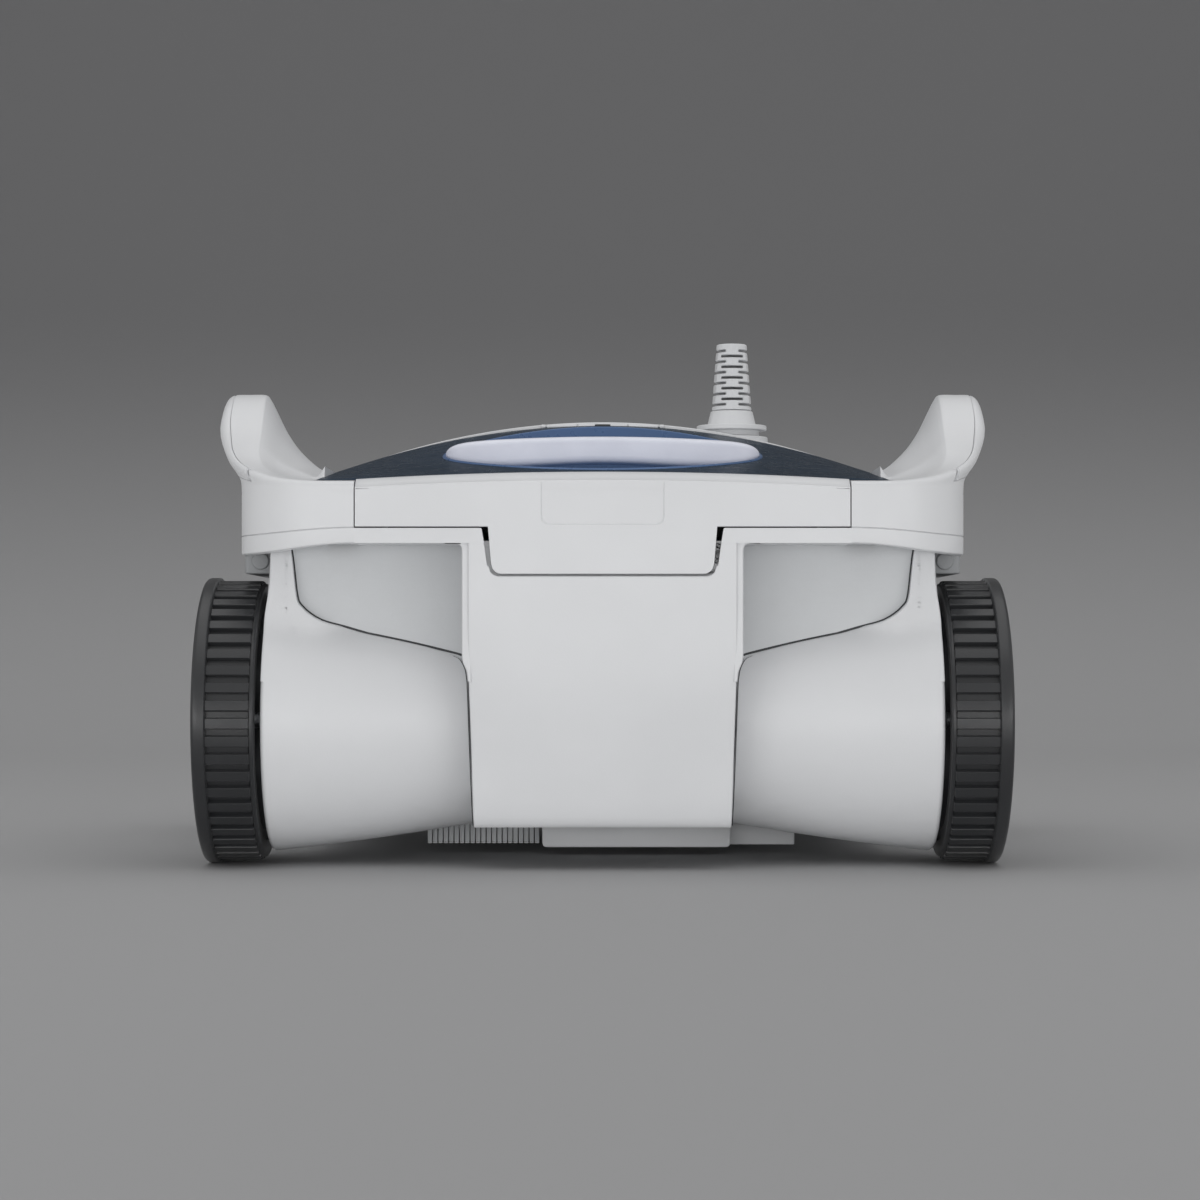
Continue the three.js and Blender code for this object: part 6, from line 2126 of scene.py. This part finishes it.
@dataclass(frozen=True)
class Stage:
    """Pale floor and backdrop, soft lamps and the camera, in metres."""

    tone: int = 0x9D9D9E  # of the floor, as the camera and reflections see it
    back_tone: int = 0x6E6E6F  # of the backdrop at fade_height and above
    bounce_tone: int = 0xF2F2F2  # of both, for the light that they throw back
    fade_height: float = 0.55
    floor_end: Pair = (-3.2, 1.0)  # of the level part along Y
    bend_at: float = 1.3
    bend_radius: float = 0.9
    wall_top: float = 3.4
    half_width: float = 4.5
    surround: float = 0.56  # strength of the even light from all sides
    lens: float = 90.0
    sensor: float = 36.0
    camera_at: Tuple[float, float, float] = (0.0, -1.630, 0.109)
    shift: Pair = (-0.00217, 0.03667)
    lamps: Tuple[Lamp, ...] = (
        Lamp("top_lamp", (0.0, -0.3, 1.9), (0.0, 0.0, 0.1), (2.2, 2.2), 11.5),
        Lamp("left_lamp", (-1.7, -2.1, 0.25), (0.0, 0.0, 0.08), (1.4, 0.4), 7.0),
        Lamp("right_lamp", (1.7, -2.1, 0.25), (0.0, 0.0, 0.08), (1.4, 0.4), 7.0),
        Lamp("front_lamp", (0.0, -2.4, 0.10), (0.0, 0.0, 0.03), (2.6, 0.25), 10.0),
    )

    def paper(self) -> Material:
        """Matt paper, one tone to the eye and a paler one for the light that it throws back.

        Returns:
            The material.
        """
        desk = NodeDesk.open("studio_paper")
        ray = desk.add("ShaderNodeLightPath").outputs
        height = desk.add("ShaderNodeSeparateXYZ")
        desk.join(desk.add("ShaderNodeTexCoord").outputs["Object"], height.inputs["Vector"])
        rise = desk.add("ShaderNodeMapRange", interpolation_type="SMOOTHSTEP")
        rise.inputs["From Max"].default_value = self.fade_height
        desk.join(height.outputs["Z"], rise.inputs["Value"])
        seen = desk.blend(rise.outputs["Result"], linear(self.tone), linear(self.back_tone))
        shiny = desk.combine("ADD", ray["Is Glossy Ray"], ray["Is Transmission Ray"])
        direct = desk.combine("ADD", ray["Is Camera Ray"], shiny, clamp=True)
        tone = desk.blend(direct, linear(self.bounce_tone), (0.5, 0.5, 0.5))
        desk.join(seen, [s for s in tone.node.inputs if s.type == "RGBA"][1])
        desk.join(tone, desk.shader.inputs["Base Color"])
        desk.shader.inputs["Roughness"].default_value = 0.9
        desk.shader.inputs["Specular IOR Level"].default_value = 0.1
        return desk.material

    def sweep(self) -> None:
        """Floor that rises into the backdrop in one smooth curve."""
        turn, radius = np.linspace(0, math.pi / 2, 24), self.bend_radius
        flat = [[y, 0.0] for y in self.floor_end]
        bend = np.stack([self.bend_at + radius * np.sin(turn), radius * (1 - np.cos(turn))], axis=1)
        curve = np.concatenate([flat, bend, [[self.bend_at + radius, self.wall_top]]])
        across = np.linspace(-self.half_width, self.half_width, 3)
        points = np.empty((len(curve), len(across), 3))
        points[..., 0] = across[None, :]
        points[..., 1:] = curve[:, None, :]
        surface = Surface.grid(points)
        mesh = bpy.data.meshes.new("backdrop")
        mesh.from_pydata(surface.points.tolist(), [], surface.faces)
        mesh.shade_smooth()
        mesh.materials.append(self.paper())
        floor = bpy.data.objects.new("backdrop", mesh)
        bpy.context.scene.collection.objects.link(floor)
        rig.stage(floor)

    def lights(self) -> None:
        """Large lamp above, two low ones beside the camera, a low one in front, and the world."""
        for lamp in self.lamps:
            lamp.hang()
        world = bpy.data.worlds.new("surround")
        world.use_nodes = True
        ground = world.node_tree.nodes["Background"]
        ground.inputs["Color"].default_value = (1.0, 1.0, 1.0, 1.0)
        ground.inputs["Strength"].default_value = self.surround
        bpy.context.scene.world = world

    def camera(self) -> None:
        """Camera level with the lower body, straight in front."""
        scene = bpy.context.scene
        data = bpy.data.cameras.new("front_camera")
        data.lens, data.sensor_width = self.lens, self.sensor
        data.shift_x, data.shift_y = self.shift
        camera = bpy.data.objects.new("front_camera", data)
        camera.location = self.camera_at
        camera.rotation_euler = (math.pi / 2, 0.0, 0.0)
        scene.collection.objects.link(camera)
        scene.camera = camera
        scene.view_settings.view_transform = "Standard"

    def dress(self) -> None:
        """Sets the whole stage."""
        self.sweep()
        self.lights()
        self.camera()


# --- The cleaner ---


@dataclass
class PoolCleaner:
    """All sub-assemblies, each dressed in the shared finishes."""

    finish: Finishes = field(default_factory=Finishes.make)

    def kept(self) -> Dict[str, Finish]:
        """Nodes that keep the CAD form, with their finish.

        Returns:
            The finish of each node.
        """
        f = self.finish
        table = {
            # the tub takes the recess finish: the white shell painted darker, as painted shade
            "chassis_tub": f.recess, "side_cover_left": f.shell, "side_cover_right": f.shell,
            "inlet_flap": f.dark, "flap_pin": f.steel, "filter_basket": f.dark,
            "filter_mesh_front": f.cloth, "filter_mesh_rear": f.cloth, "motor_box": f.dark,
            "motor_box_seal": f.seal, "motor_box_cover": f.dark, "drive_motor_left": f.can,
            "drive_motor_right": f.can, "pump_motor": f.can, "drive_pinion_left": f.nylon,
            "drive_pinion_right": f.nylon, "impeller": f.dark, "control_board": f.board,
            "outlet_duct": f.shell, "outlet_grille": f.wheel, "swivel_base": f.shell,
            "swivel_collar": f.shell, "strain_relief": f.shell,
        }
        for side in Side:
            for end in End:
                table[f"idler_gear_{end.word}_{side.word}"] = f.nylon
        return table

    def dress(self) -> None:
        """Makes every piece."""
        corners = [part(side, end) for side in Side for end in End for part in (Wheel, Fender)]
        panels = [CentrePanel(end) for end in (End.FRONT, End.REAR)]
        for part in (*corners, *panels, UpperFrame(), Lid(), Deck(), Underside()):
            part.dress(self.finish)
        for node, finish in self.kept().items():
            refined(node, finish)


def note_size(moment: str) -> None:
    """Args:
        moment: Name of the entry.
    """
    sizes: Dict[str, object] = {}
    if moment != "after_load":
        with open(SIZE_FILE, encoding="utf-8") as stream:
            sizes = json.load(stream)
    sizes[moment] = [[float(value) for value in corner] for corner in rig.bounds()]
    with open(SIZE_FILE, "w", encoding="utf-8") as stream:
        json.dump(sizes, stream)


def main() -> None:
    """Builds the stage and the cleaner."""
    logging.basicConfig(level=logging.INFO, format="%(name)s: %(message)s")
    note_size("after_load")
    Stage().dress()
    PoolCleaner().dress()
    note_size("before_finish")


if __name__ == "__main__":
    main()
